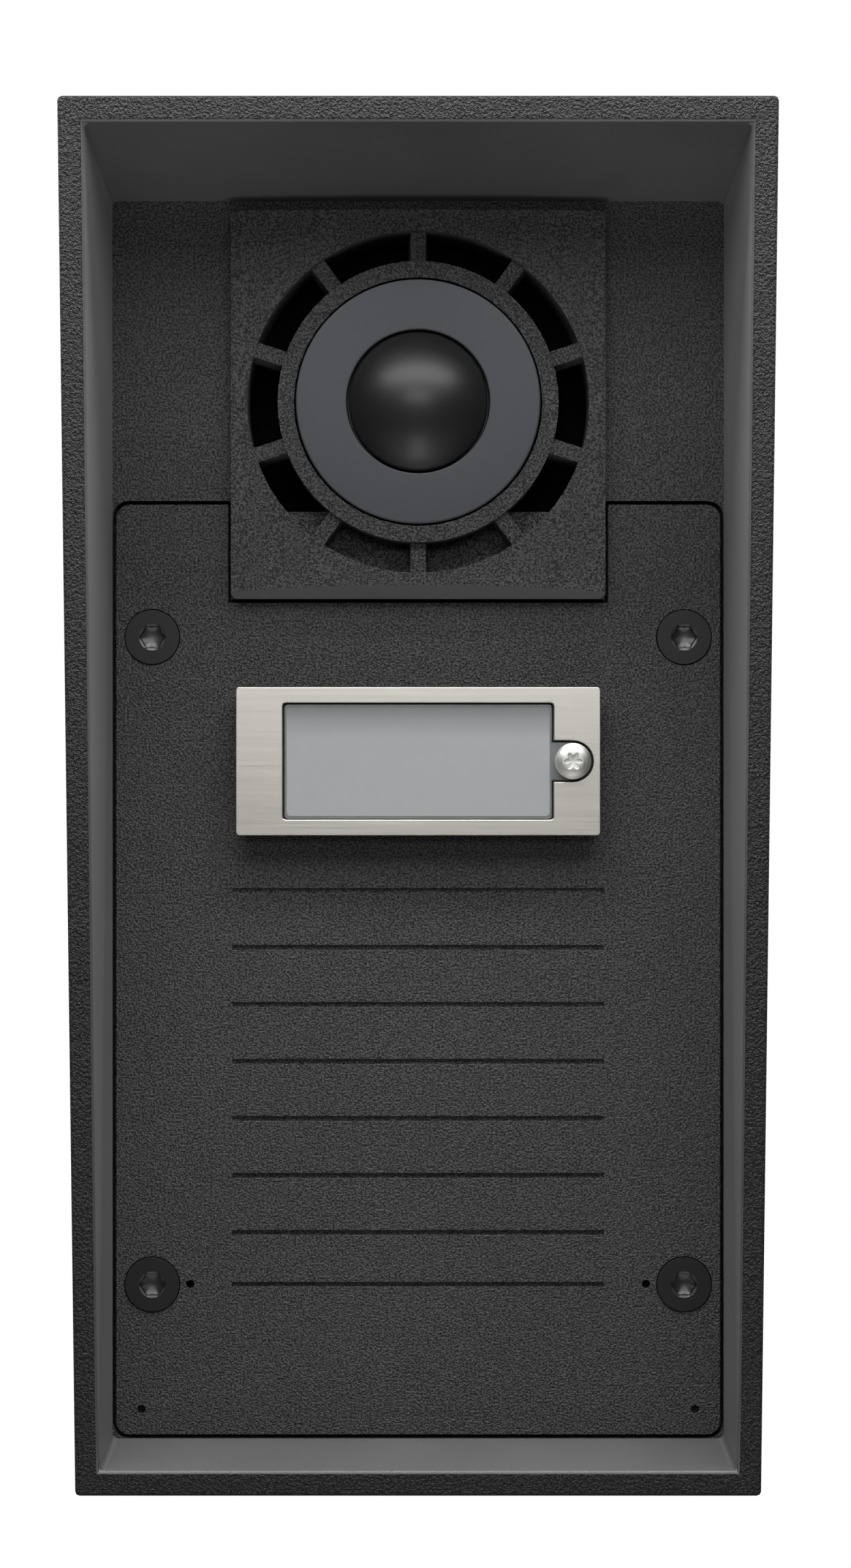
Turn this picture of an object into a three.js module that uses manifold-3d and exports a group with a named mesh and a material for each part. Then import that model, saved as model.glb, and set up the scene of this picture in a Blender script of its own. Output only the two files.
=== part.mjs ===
// Wall-mounted door intercom panel with a speaker ring, a camera dome, a removable cover and one
// name-plate button. Every piece is modelled in the panel's own frame: x to the right, y up the
// wall and z out of the wall, in millimetres. The last lines stand the panel up, with +Z up.

import * as THREE from "three";
import { mergeVertices } from "three/addons/utils/BufferGeometryUtils.js";
import { ConvexGeometry } from "three/addons/geometries/ConvexGeometry.js";
import Module from "manifold-3d";

const wasm = await Module();
wasm.setup();

// Driving sizes of the housing.
const overallWidth = 109;
const overallHeight = 217;
const hoodDepth = 83; // wall to the rim, at the very top
const chinDepth = 58; // wall to the rim, at the very bottom
const deckDepth = 51; // wall to the face of the upper deck and of the cover
const deckThickness = 7;
const cornerRadius = 0.7;
const rimWidth = 3.9;
const sideBevelFoot = 5.3; // outer side to the foot of the side bevels
const topBevelFoot = 10;
const bottomBevelFoot = 7.8;
const wallThickness = 4.5;
const rearLip = 3; // rim of the housing that touches the wall
const lipCorner = 2.5;
const cavityCorner = 2;

// Clearances.
const seatGap = 0.25; // between pieces that rest on each other
const fitGap = 0.3; // round a piece that goes into another
const overshoot = 1; // how far a cutter runs past what it cuts

// Speaker block and its ring of slots.
const discRadius = 19.6;
const ringWall = 2.6;
const slotWidth = 4.9;
const spokeCount = 10;
const spokeFrontWidth = 2.4;
const spokeBackWidth = 3.1;
const spokeSetback = 1.2; // block face to the front of the spokes
const slotFloorDepth = 48.5; // wall to the floor of the lower slots
const slotFloorDrop = 17.1; // ring centre down to the edge of that floor
const blockTopMargin = 12; // top of the housing to the top of the block
const blockSideMargin = 2.6;
const blockEndMargin = 3.3;
const blockFootMargin = 4;
const blockCorner = 1;
const blockCrown = 3.6; // how far the middle of the block stands out of the deck
const blockCrownDrop = 1.1; // how much lower the block's sides are than its middle
const blockChamfer = 2.1;
const discProud = 0.2; // block face to the face of the trim disc

// Front cover.
const coverGap = 0.45;
const coverThickness = 2.6;
const coverCorner = 2.1;
const coverFlank = 15.4; // how far the cover reaches up beside the block
const notchGap = 0.55;
const ledgeWidth = 3;
const openingCorner = 2;
const ledgeTopMargin = 2.9; // foot of the block down to the service opening
const coverGasketThickness = 0.8;
const coverGasketCorner = 1.7;
const grooveCount = 8;
const groovePitch = 9.18;
const grooveWidth = 0.75;
const grooveDepth = 0.4;
const grooveHalfLength = 29.9;
const firstGrooveDrop = 46.9; // foot of the block down to the first groove
const pinholeRadius = 0.7;
const dimpleDepth = 1.5;
const dimpleInset = 4.2;
const microphoneInset = 12.05;

// Screws.
const coverScrewInset = 5.95;
const upperScrewDrop = 6.1; // foot of the block down to the upper cover screws
const lowerScrewRise = 24.35; // bottom of the cover up to the lower cover screws
const coverScrew = { headRadius: 4.2, headHeight: 1.6, shankRadius: 1.9, length: 13, socketRadius: 2 };
const coverScrewProud = 0.2;
const smallScrew = { headRadius: 2.3, headHeight: 1.4, shankRadius: 1.2, length: 6, socketRadius: 1 };
const plateScrew = { headRadius: 2.7, headHeight: 1.2, shankRadius: 1.4, length: 9, socketRadius: 1.2 };
const labelScrew = { headRadius: 2.9, headHeight: 1.5, shankRadius: 1.1, length: 2.6, socketRadius: 1.3 };
const screwBossDepth = 17;
const screwBossMargin = 0.6;
const screwTipRoom = 1.5; // hole left past the end of a screw
const screwSides = 10;
const socketDepth = 0.9;

// Name-plate button.
const buttonTravel = 1.2;
const buttonDrop = 26.1; // foot of the block down to the middle of the button
const namePlateWidth = 58.3;
const namePlateHeight = 23.7;
const namePlateThickness = 1.2;
const windowWidth = 43.3;
const windowHeight = 18.7;
const windowTabX = 24.7;
const windowTabRadius = 3.3;
const windowThickness = 0.6;
const labelThickness = 0.2;
const plateCorner = 0.5;
const carrierThickness = 1.15;
const stemMargin = 4.45; // edge of the name plate in to the carrier's stem
const stemLength = 7;
const sealWidth = 1.7;
const sealThickness = 2;
const sealCorner = 1.8;
const stemCorner = 0.6;
const carrierInset = 0.3; // edge of the name plate in to the carrier's edge
const snapReach = 3.5;
const snapHalfWidth = 3;
const snapThickness = 1.2;

// Button board and switch.
const boardThickness = 1.2;
const buttonBoardDrop = 5.4; // end of the carrier's stem back to the front of the board
const buttonBoardHalfHeight = 13;
const postRadius = 2.3;
const postMargin = 1.6; // end of the snap hook out to a post
const postEdge = 0.7; // post out to the end of the board
const postHoleDepth = 6;
const switchSize = 7;
const switchHeight = 3.65;
const plungerRadius = 1.6;
const plungerLength = 2.65;
const backlightX = 9;
const backlightSize = { halfWidth: 1.6, halfHeight: 1.1, thickness: 1.4 };
const springRadius = 2.1;
const springWire = 0.3;
const springTurns = 5;
const springX = 17;
const springSocketDepth = 4.5;
const springSocketRoom = 0.5;

// Speaker.
const speakerFlangeThickness = 1.2;
const speakerScrewMargin = 2.4; // edge of the mesh out to the speaker's screws
const speakerFlangeMargin = 2.4; // the screws out to the edge of the speaker's flange
const speakerGasketThickness = 0.8;
const meshThickness = 0.4;
const coneThickness = 0.6;
const coneSetback = 1.4; // front of the basket's flange back to the cone's rim
const coneEdgeDrop = 4.2; // outer edge of the slots in to the cone's rim
const surroundWidth = 2.6;
const basketWall = 1.2;
const basketNeckRoom = 2; // magnet's side out to the basket's neck
const basketShoulderDrop = 3.5;
const basketFloorDrop = 3;
const coilRadius = 9.25;
const coilThickness = 0.7;
const coilGap = 0.6;
const coneDepth = 9.4;
const magnetRadius = 17;
const magnetHeight = 11.7;
const magnetYoke = 3; // floor of the magnet's gap
const coilReach = 6; // how far the coil dips into the magnet
const dustCapHeight = 1.9;
const meshMargin = 1.8; // outer edge of the slots out to the mesh's edge

// Camera.
const cupWall = 1.6;
const cupFloor = 1.4;
const domeRadius = 11.1;
const domeRise = 5.4;
const domeWall = 1.2;
const domeFlange = 2.4;
const domeFlangeThickness = 1;
const domeSealThickness = 0.7;
const discThickness = 3;
const discRebate = 1.3;
const cameraBoardSize = 22;
const barrelRadius = 5;
const barrelBaseRadius = 7;
const barrelHeight = 10;
const lensRadius = 3.6;
const lensThickness = 1.6;
const lensBulge = 0.9;
const lensSeatDepth = 3;

// Back plate, main board and what stands on it.
const backPlateThickness = 2.5;
const backGasketThickness = 0.8;
const backPlateCorner = 2.2;
const cornerPost = 10;
const cornerPostScrewOffset = 1; // middle of a post toward the panel's middle
const wallHoleRadius = 2.75;
const wallHoleInset = 9.5; // cavity wall in to the wall-screw holes
const cableHoleRadius = 10;
const cableHoleRise = 28.5;
const grommetBore = 4;
const grommetHeight = 4;
const grommetLip = 2.5;
const grommetLipHeight = 1.8;
const standoffHeight = 9.25;
const standoffRadius = 3;
const standoffHoleDepth = 6;
const upperWallHoleDrop = 8; // upper screw bosses down to the wall holes below them
const lowerWallHoleRise = 12; // lower screw bosses up to the wall holes above them
const boardEdge = 4; // board edge in to its fixing screws
const mainBoardThickness = 1.6;
const mainBoardSideGap = 15; // cavity wall in to the board's edge
const mainBoardTopDrop = 10.4; // foot of the block down to the board's top edge
const mainBoardFootRise = 8; // cable hole up to the board's bottom edge
const boardCorner = 1.5;
const processorX = -8;
const processorDrop = 18; // board's top edge down to the processor
const processorSize = { half: 7.5, thickness: 1.5 };
const heatSinkSize = { half: 10, base: 2, height: 9, finCount: 6, finWidth: 1.2 };
const jackX = -16;
const jackRise = 1; // board's bottom edge up to the jack and the terminals
const jackSize = { halfWidth: 8, length: 20, height: 13.5, back: 6 };
const jackMouth = { halfWidth: 5.9, low: 3, high: 10.5 };
const terminalX = 12;
const terminalSize = { ways: 5, pitch: 4, length: 9, height: 10 };
const terminalMouth = { halfWidth: 1.3, length: 5, low: 1.2, high: 4.4 };
const terminalScrew = { radius: 1.4, depth: 3 };
const relayX = 18;
const relayDrop = 16;
const relaySize = { halfWidth: 5, halfHeight: 9.5, thickness: 15.5, corner: 0.4 };

// Microphones, each in a rubber boot with a duct to its port in the cover.
const bootThickness = 5;
const bootHalfHeight = 4;
const bootOuter = 0.9; // port out to the boot's end
const bootInner = 8.5; // port in to the boot's other end
const capsuleOffset = 3.9; // port in to the middle of the capsule
const capsuleRadius = 2.9;
const capsuleLength = 2.9;
const bootFrontWall = 1.6;
const ductHalf = 0.6;

// Places worked out from the driving sizes.
const top = overallHeight / 2;
const bottom = -top;
const side = overallWidth / 2;
const recessSide = side - sideBevelFoot;
const recessTop = top - topBevelFoot;
const recessBottom = bottom + bottomBevelFoot;
const cavitySide = side - wallThickness;
const cavityTop = top - wallThickness;
const deckBack = deckDepth - deckThickness;
const rearRebate = backPlateThickness + backGasketThickness + 2 * seatGap;

const ringBore = discRadius + fitGap;
const slotInner = ringBore + ringWall;
const slotOuter = slotInner + slotWidth;
const blockSide = slotOuter + blockSideMargin;
const blockTop = top - blockTopMargin;
const ringY = blockTop - blockEndMargin - slotOuter;
const blockBottom = ringY - slotOuter - blockFootMargin;
const blockFace = deckDepth + blockCrown;
const spokeFront = blockFace - spokeSetback;

const coverSide = recessSide - coverGap;
const coverTop = blockBottom + coverFlank;
const coverBottom = recessBottom + coverGap;
const coverBack = deckDepth - coverThickness;
const notchBottom = blockBottom - notchGap;
const ledgeDepth = coverBack - coverGasketThickness - 2 * seatGap;
const openingSide = recessSide - ledgeWidth;
const openingBottom = recessBottom + ledgeWidth;
const openingTop = blockBottom - ledgeTopMargin;

const coverScrewX = coverSide - coverScrewInset;
const upperScrewY = blockBottom - upperScrewDrop;
const lowerScrewY = coverBottom + lowerScrewRise;
const coverScrewSeat = deckDepth + coverScrewProud - coverScrew.headHeight;
const coverBossRadius = openingSide - coverScrewX;
const screwBossHalf = coverScrew.headRadius + screwBossMargin;
const screwBossInner = coverScrewX - screwBossHalf;

const buttonY = blockBottom - buttonDrop;
const carrierBack = deckDepth + buttonTravel + seatGap;
const carrierFront = carrierBack + carrierThickness;
const namePlateBack = carrierFront + seatGap;
const namePlateFront = namePlateBack + namePlateThickness;
const labelBack = carrierFront + seatGap;
const windowBack = labelBack + labelThickness + seatGap;
const stemHalfWidth = namePlateWidth / 2 - stemMargin;
const stemHalfHeight = namePlateHeight / 2 - stemMargin;
const stemEnd = carrierBack - stemLength;
const buttonBoardFront = stemEnd - buttonBoardDrop;
const sealOuter = sealWidth + fitGap;
const postX = stemHalfWidth + snapReach + fitGap + postRadius + postMargin;
const buttonBoardSide = postX + postRadius + postEdge;

const speakerDiscEdge = slotOuter + meshMargin;
const speakerScrewRadius = speakerDiscEdge + speakerScrewMargin;
const speakerFlangeRadius = speakerScrewRadius + speakerFlangeMargin;
const meshBack = deckBack - seatGap - meshThickness;
const speakerGasketBack = meshBack - seatGap - speakerGasketThickness;
const flangeFront = speakerGasketBack - seatGap;
const flangeBack = flangeFront - speakerFlangeThickness;
const coneRim = flangeFront - coneSetback;
const coneOuter = slotOuter - coneEdgeDrop;
const surroundInner = coneOuter + fitGap;
const surroundOuter = surroundInner + surroundWidth;
const basketInner = surroundOuter + fitGap;
const coneFoot = coneRim - coneDepth;
const basketFloor = coneFoot - basketFloorDrop;
const magnetFront = basketFloor - seatGap;

const cupBack = deckBack + fitGap;
const discFront = blockFace + discProud;
const discBack = discFront - discThickness;
const cupFront = discBack - seatGap;
const domeSealFront = discBack + discRebate - seatGap;
const domeFlangeFront = domeSealFront - domeSealThickness - seatGap;
const cameraBoardBack = cupBack + cupFloor + seatGap;
const barrelBack = cameraBoardBack + boardThickness + seatGap;

const cableHoleY = bottom + cableHoleRise;
const mainBoardBack = backPlateThickness + standoffHeight + seatGap;
const mainBoardFront = mainBoardBack + mainBoardThickness;
const mainBoardSide = cavitySide - mainBoardSideGap;
const mainBoardTop = blockBottom - mainBoardTopDrop;
const mainBoardBottom = cableHoleY + cableHoleRadius + mainBoardFootRise;
const boardScrewX = mainBoardSide - boardEdge;
const wallHoleX = cavitySide - wallHoleInset;
const partBase = mainBoardFront + seatGap;

// A closed geometry, as a solid that can be joined and cut.
function solidOf(geometry) {
  const bare = geometry.clone();
  bare.deleteAttribute("normal");
  bare.deleteAttribute("uv");
  const merged = mergeVertices(bare, 1e-4);
  const order = merged.index.array;
  return new wasm.Manifold(
    new wasm.Mesh({
      numProp: 3,
      vertProperties: new Float32Array(merged.attributes.position.array),
      triVerts: new Uint32Array(order),
    }),
  );
}

function geometryOf(solid) {
  const mesh = solid.getMesh();
  const geometry = new THREE.BufferGeometry();
  geometry.setAttribute("position", new THREE.BufferAttribute(mesh.vertProperties, 3));
  geometry.setIndex(new THREE.BufferAttribute(mesh.triVerts, 1));
  const flat = geometry.toNonIndexed();
  flat.computeVertexNormals();
  return flat;
}

function roundedRectangle(left, right, low, high, radius) {
  const shape = new THREE.Shape();
  shape.moveTo(left + radius, low);
  shape.lineTo(right - radius, low);
  shape.absarc(right - radius, low + radius, radius, -Math.PI / 2, 0, false);
  shape.lineTo(right, high - radius);
  shape.absarc(right - radius, high - radius, radius, 0, Math.PI / 2, false);
  shape.lineTo(left + radius, high);
  shape.absarc(left + radius, high - radius, radius, Math.PI / 2, Math.PI, false);
  shape.lineTo(left, low + radius);
  shape.absarc(left + radius, low + radius, radius, Math.PI, 1.5 * Math.PI, false);
  return shape;
}

// A shape in the panel's plane, as a slab between two depths.
function slab(shape, back, front, curveSegments = 2) {
  const geometry = new THREE.ExtrudeGeometry(shape, {
    depth: front - back,
    bevelEnabled: false,
    curveSegments,
  });
  geometry.translate(0, 0, back);
  return geometry;
}

function plate(left, right, low, high, back, front, radius) {
  const curveSegments = radius < 1 ? 1 : 2;
  return slab(roundedRectangle(left, right, low, high, radius), back, front, curveSegments);
}

function box(left, right, low, high, back, front) {
  const geometry = new THREE.BoxGeometry(right - left, high - low, front - back);
  geometry.translate((left + right) / 2, (low + high) / 2, (back + front) / 2);
  return geometry;
}

function rod(x, y, radius, back, front, segments = 16) {
  const geometry = new THREE.CylinderGeometry(radius, radius, front - back, segments);
  geometry.rotateX(Math.PI / 2);
  geometry.translate(x, y, (back + front) / 2);
  return geometry;
}

// A profile of [radius, depth] pairs, turned about the depth axis. It runs anticlockwise, with the
// radius to the right and the depth upward.
function turned(profile, segments = 32) {
  const points = profile.map(([radius, depth]) => new THREE.Vector2(radius, depth));
  const geometry = new THREE.LatheGeometry(points, segments);
  geometry.rotateX(Math.PI / 2);
  return geometry;
}

function ring(inner, outer, back, front, segments = 32) {
  const profile = [
    [inner, back],
    [outer, back],
    [outer, front],
    [inner, front],
    [inner, back],
  ];
  return turned(profile, segments);
}

function cut(solid, ...cutters) {
  return cutters.reduce((left, cutter) => left.subtract(solidOf(cutter)), solid);
}

function join(solid, ...additions) {
  return additions.reduce((whole, addition) => whole.add(solidOf(addition)), solid);
}

function shifted(geometry, x, y, z = 0) {
  return geometry.translate(x, y, z);
}

// Depth of the tilted plane of the rim at a height on the wall.
function rimDepth(y) {
  return chinDepth + ((y - bottom) / overallHeight) * (hoodDepth - chinDepth);
}

function outerWedge() {
  const front = hoodDepth + overshoot;
  const blank = plate(-side, side, bottom, top, 0, front, cornerRadius);
  const corners = [];
  for (const x of [-side - overshoot, side + overshoot]) {
    for (const y of [bottom - overshoot, top + overshoot]) {
      corners.push(new THREE.Vector3(x, y, rimDepth(y)));
      corners.push(new THREE.Vector3(x, y, hoodDepth + 3 * overshoot));
    }
  }
  return cut(solidOf(blank), new ConvexGeometry(corners));
}

// The open hollow under the hood: its four bevels run from the rim down to the deck.
function recessCutter() {
  const corners = [];
  const reach = 1.2;
  const rims = [
    [recessBottom, bottom + rimWidth],
    [recessTop, top - rimWidth],
  ];
  for (const direction of [-1, 1]) {
    for (const [footY, rimY] of rims) {
      const foot = new THREE.Vector3(direction * recessSide, footY, deckDepth);
      const rim = new THREE.Vector3(direction * (side - rimWidth), rimY, rimDepth(rimY));
      corners.push(foot);
      corners.push(foot.clone().lerp(rim, reach));
    }
  }
  return new ConvexGeometry(corners);
}

function coverOutline(margin, radius) {
  return roundedRectangle(
    -coverSide - margin,
    coverSide + margin,
    coverBottom - margin,
    coverTop + margin,
    radius,
  );
}

function coverPocket() {
  const pocket = slab(coverOutline(coverGap, coverCorner + coverGap), ledgeDepth, deckDepth + overshoot);
  const blockFoot = box(-blockSide, blockSide, blockBottom, blockTop, 0, hoodDepth);
  return cut(solidOf(pocket), blockFoot);
}

function speakerBlock() {
  const outline = roundedRectangle(-blockSide, blockSide, blockBottom, blockTop, blockCorner);
  const blank = solidOf(slab(outline, deckBack, blockFace + overshoot));
  const sag = blockCrownDrop;
  const faceRadius = (blockSide ** 2 + sag ** 2) / (2 * sag);
  const archReach = 1.05;
  const halfAngle = Math.asin(blockSide / faceRadius) * archReach;
  const arch = new THREE.Shape();
  arch.absarc(0, blockFace - faceRadius, faceRadius, Math.PI / 2 - halfAngle, Math.PI / 2 + halfAngle, false);
  arch.lineTo(-blockSide - overshoot, 0);
  arch.lineTo(blockSide + overshoot, 0);
  const length = blockTop - blockBottom + 2 * overshoot;
  const barrel = new THREE.ExtrudeGeometry(arch, { depth: length, bevelEnabled: false, curveSegments: 12 });
  barrel.rotateX(Math.PI / 2);
  barrel.translate(0, blockTop + overshoot, 0);
  const crowned = blank.intersect(solidOf(barrel));
  return cut(crowned, blockChamferCutter());
}

function blockChamferCutter() {
  const corners = [];
  for (const x of [-blockSide - overshoot, blockSide + overshoot]) {
    corners.push(new THREE.Vector3(x, blockBottom - overshoot, blockFace - blockChamfer - overshoot));
    corners.push(new THREE.Vector3(x, blockBottom + blockChamfer + overshoot, blockFace + overshoot));
    corners.push(new THREE.Vector3(x, blockBottom - overshoot, blockFace + overshoot));
  }
  return new ConvexGeometry(corners);
}

function slotCutter() {
  const front = blockFace + overshoot;
  const back = deckBack - overshoot;
  const sides = 60;
  const shallow = solidOf(shifted(ring(slotInner, slotOuter, slotFloorDepth, front, sides), 0, ringY));
  const through = solidOf(shifted(ring(slotInner, slotOuter, back, front, sides), 0, ringY));
  const floorEdge = ringY - slotFloorDrop;
  const reach = slotOuter + overshoot;
  const above = box(-reach, reach, floorEdge, ringY + reach, 0, hoodDepth);
  return shallow.add(through.intersect(solidOf(above)));
}

function spoke(angle) {
  const foot = slotFloorDepth - fitGap;
  const shape = new THREE.Shape();
  shape.moveTo(-spokeBackWidth / 2, foot);
  shape.lineTo(spokeBackWidth / 2, foot);
  shape.lineTo(spokeFrontWidth / 2, spokeFront);
  shape.lineTo(-spokeFrontWidth / 2, spokeFront);
  const overlap = 0.4;
  const length = slotWidth + 2 * overlap;
  const geometry = new THREE.ExtrudeGeometry(shape, { depth: length, bevelEnabled: false });
  geometry.rotateX(Math.PI / 2);
  geometry.translate(0, -slotInner + overlap, 0);
  geometry.rotateZ(angle);
  return shifted(geometry, 0, ringY);
}

function coverScrewPlaces() {
  const places = [];
  for (const y of [upperScrewY, lowerScrewY]) {
    places.push([-coverScrewX, y], [coverScrewX, y]);
  }
  return places;
}

function speakerScrewPlaces() {
  const places = [];
  for (let index = 0; index < 4; index += 1) {
    const angle = Math.PI / 4 + (index * Math.PI) / 2;
    places.push([speakerScrewRadius * Math.cos(angle), ringY + speakerScrewRadius * Math.sin(angle)]);
  }
  return places;
}

function plateScrewPlaces() {
  const x = cavitySide - cornerPost / 2 - cornerPostScrewOffset;
  const y = cavityTop - cornerPost / 2 - cornerPostScrewOffset;
  return [
    [-x, y],
    [x, y],
    [-x, -y],
    [x, -y],
  ];
}

function screwBosses() {
  const bosses = [];
  const reach = cavitySide + fitGap;
  for (const [x, y] of coverScrewPlaces()) {
    const [left, right] = x < 0 ? [-reach, -screwBossInner] : [screwBossInner, reach];
    const back = ledgeDepth - screwBossDepth;
    bosses.push(box(left, right, y - screwBossHalf, y + screwBossHalf, back, ledgeDepth));
  }
  for (const [x, y] of plateScrewPlaces()) {
    const edgeX = Math.sign(x) * (cavitySide - cornerPost);
    const edgeY = Math.sign(y) * (cavityTop - cornerPost);
    const wallX = Math.sign(x) * (cavitySide + fitGap);
    const wallY = Math.sign(y) * (cavityTop + fitGap);
    const [left, right] = [Math.min(edgeX, wallX), Math.max(edgeX, wallX)];
    const [low, high] = [Math.min(edgeY, wallY), Math.max(edgeY, wallY)];
    bosses.push(box(left, right, low, high, rearRebate, deckBack + fitGap));
  }
  return bosses;
}

function screwHoles() {
  const holes = [];
  for (const [x, y] of coverScrewPlaces()) {
    const radius = coverScrew.shankRadius + fitGap;
    const back = coverScrewSeat - coverScrew.length - screwTipRoom;
    holes.push(rod(x, y, radius, back, ledgeDepth + overshoot, screwSides));
  }
  for (const [x, y] of speakerScrewPlaces()) {
    const radius = smallScrew.shankRadius + fitGap;
    const front = flangeBack + smallScrew.length + screwTipRoom;
    holes.push(rod(x, y, radius, deckBack - overshoot, front, screwSides));
  }
  for (const [x, y] of plateScrewPlaces()) {
    const radius = plateScrew.shankRadius + fitGap;
    const end = plateScrew.headHeight + plateScrew.length + screwTipRoom;
    holes.push(rod(x, y, radius, 0, end, screwSides));
  }
  return holes;
}

function housingCasting() {
  const lipSide = side - rearLip;
  const lipTop = top - rearLip;
  const opening = [-openingSide, openingSide, openingBottom, openingTop];
  let body = cut(
    outerWedge(),
    recessCutter(),
    plate(-cavitySide, cavitySide, -cavityTop, cavityTop, -overshoot, deckBack, cavityCorner),
    plate(-lipSide, lipSide, -lipTop, lipTop, -overshoot, rearRebate, lipCorner),
  );
  body = body.subtract(coverPocket());
  body = cut(body, plate(...opening, deckBack - overshoot, deckDepth, openingCorner));
  body = body.add(speakerBlock());
  body = cut(body, rod(0, ringY, ringBore, deckBack - overshoot, hoodDepth, 40));
  body = body.subtract(slotCutter());
  for (let index = 0; index < spokeCount; index += 1) {
    body = join(body, spoke((index * 2 * Math.PI) / spokeCount));
  }
  body = join(body, ...screwBosses());
  body = cut(body, ...screwHoles());
  return geometryOf(body);
}

function backPlate() {
  const halfWidth = side - rearLip - fitGap;
  const halfHeight = top - rearLip - fitGap;
  const thickness = backPlateThickness;
  let body = solidOf(plate(-halfWidth, halfWidth, -halfHeight, halfHeight, 0, thickness, backPlateCorner));
  for (const [x, y] of mainBoardScrewPlaces()) {
    const front = thickness + standoffHeight;
    const hole = smallScrew.shankRadius + fitGap;
    body = join(body, rod(x, y, standoffRadius, thickness / 2, front, 12));
    body = cut(body, rod(x, y, hole, front - standoffHoleDepth, front + overshoot, screwSides));
  }
  for (const [x, y] of plateScrewPlaces()) {
    const clearance = plateScrew.shankRadius + fitGap;
    const seat = plateScrew.headHeight + seatGap;
    body = cut(body, rod(x, y, clearance, -overshoot, thickness + overshoot, screwSides));
    body = cut(body, rod(x, y, plateScrew.headRadius + fitGap, -overshoot, seat, 14));
  }
  for (const [x, y] of wallHolePlaces()) {
    body = cut(body, rod(x, y, wallHoleRadius, -overshoot, thickness + overshoot, 16));
  }
  const cableHole = rod(0, cableHoleY, cableHoleRadius, -overshoot, thickness + overshoot, 24);
  return geometryOf(cut(body, cableHole));
}

function wallHolePlaces() {
  const upper = upperScrewY - screwBossHalf - upperWallHoleDrop;
  const lower = lowerScrewY + screwBossHalf + lowerWallHoleRise;
  return [
    [-wallHoleX, upper],
    [wallHoleX, upper],
    [-wallHoleX, lower],
    [wallHoleX, lower],
  ];
}

function mainBoardScrewPlaces() {
  const high = mainBoardTop - boardEdge;
  const low = mainBoardBottom + boardEdge;
  return [
    [-boardScrewX, high],
    [boardScrewX, high],
    [-boardScrewX, low],
    [boardScrewX, low],
  ];
}

function backGasket() {
  const outerX = side - rearLip - fitGap;
  const outerY = top - rearLip - fitGap;
  const innerX = cavitySide + fitGap;
  const innerY = cavityTop + fitGap;
  const back = backPlateThickness + seatGap;
  const front = back + backGasketThickness;
  const outer = solidOf(plate(-outerX, outerX, -outerY, outerY, back, front, backPlateCorner));
  const innerCorner = cavityCorner - fitGap;
  const inner = plate(-innerX, innerX, -innerY, innerY, back - overshoot, front + overshoot, innerCorner);
  return geometryOf(cut(outer, inner));
}

function coverGasket() {
  const back = ledgeDepth + seatGap;
  const front = back + coverGasketThickness;
  const rim = fitGap;
  const outer = solidOf(
    plate(-coverSide + rim, coverSide - rim, coverBottom + rim, notchBottom - rim, back, front, coverCorner),
  );
  const x = openingSide + rim;
  const low = openingBottom - rim;
  const high = openingTop + rim;
  const inner = plate(-x, x, low, high, back - overshoot, front + overshoot, coverGasketCorner);
  return geometryOf(cut(outer, inner));
}

// A screw with its head's seat at depth 0, its head in front and its shank behind.
function screw(size, segments) {
  const tip = 0.4;
  const socketFloor = size.headHeight - socketDepth;
  return turned(
    [
      [0, -size.length],
      [size.shankRadius - tip, -size.length],
      [size.shankRadius, -size.length + tip],
      [size.shankRadius, 0],
      [size.headRadius, 0],
      [size.headRadius, size.headHeight],
      [size.socketRadius, size.headHeight],
      [size.socketRadius, socketFloor],
      [0, socketFloor],
    ],
    segments,
  );
}

// The same screw with its head toward the wall.
function screwFromBehind(size, segments) {
  return screw(size, segments).rotateY(Math.PI);
}

function cableGrommet() {
  const plateFront = backPlateThickness;
  const neck = cableHoleRadius - fitGap;
  return turned(
    [
      [grommetBore, fitGap],
      [neck, fitGap],
      [neck, plateFront + seatGap],
      [neck + grommetLip, plateFront + seatGap],
      [neck + grommetLip, plateFront + grommetLipHeight],
      [grommetBore + grommetLip / 2, plateFront + grommetHeight],
      [grommetBore, plateFront + grommetHeight],
      [grommetBore, fitGap],
    ],
    20,
  );
}

function acousticMesh() {
  return rod(0, 0, speakerDiscEdge, meshBack, meshBack + meshThickness, 32);
}

function speakerGasket() {
  const inner = basketInner + fitGap;
  return ring(inner, speakerDiscEdge, speakerGasketBack, speakerGasketBack + speakerGasketThickness);
}

function speakerBasket() {
  const wall = basketWall;
  const neck = magnetRadius + basketNeckRoom;
  const shoulder = coneRim - basketShoulderDrop;
  const bore = coilRadius + basketNeckRoom;
  const body = turned(
    [
      [bore, basketFloor],
      [neck + wall, basketFloor],
      [basketInner + wall, shoulder],
      [basketInner + wall, flangeBack],
      [speakerFlangeRadius, flangeBack],
      [speakerFlangeRadius, flangeFront],
      [basketInner, flangeFront],
      [basketInner, shoulder + wall],
      [neck, basketFloor + wall],
      [bore, basketFloor + wall],
      [bore, basketFloor],
    ],
    28,
  );
  const hole = smallScrew.shankRadius + fitGap;
  const holes = speakerScrewPlaces().map(([x, y]) =>
    rod(x, y - ringY, hole, flangeBack - overshoot, flangeFront + overshoot, screwSides),
  );
  return geometryOf(cut(solidOf(body), ...holes));
}

function speakerMagnet() {
  const back = magnetFront - magnetHeight;
  const gapInner = coilRadius - coilThickness / 2 - coilGap;
  const gapOuter = coilRadius + coilThickness / 2 + coilGap;
  const gapFloor = back + magnetYoke;
  return turned(
    [
      [0, back],
      [magnetRadius, back],
      [magnetRadius, magnetFront],
      [gapOuter, magnetFront],
      [gapOuter, gapFloor],
      [gapInner, gapFloor],
      [gapInner, magnetFront],
      [0, magnetFront],
    ],
    24,
  );
}

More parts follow.
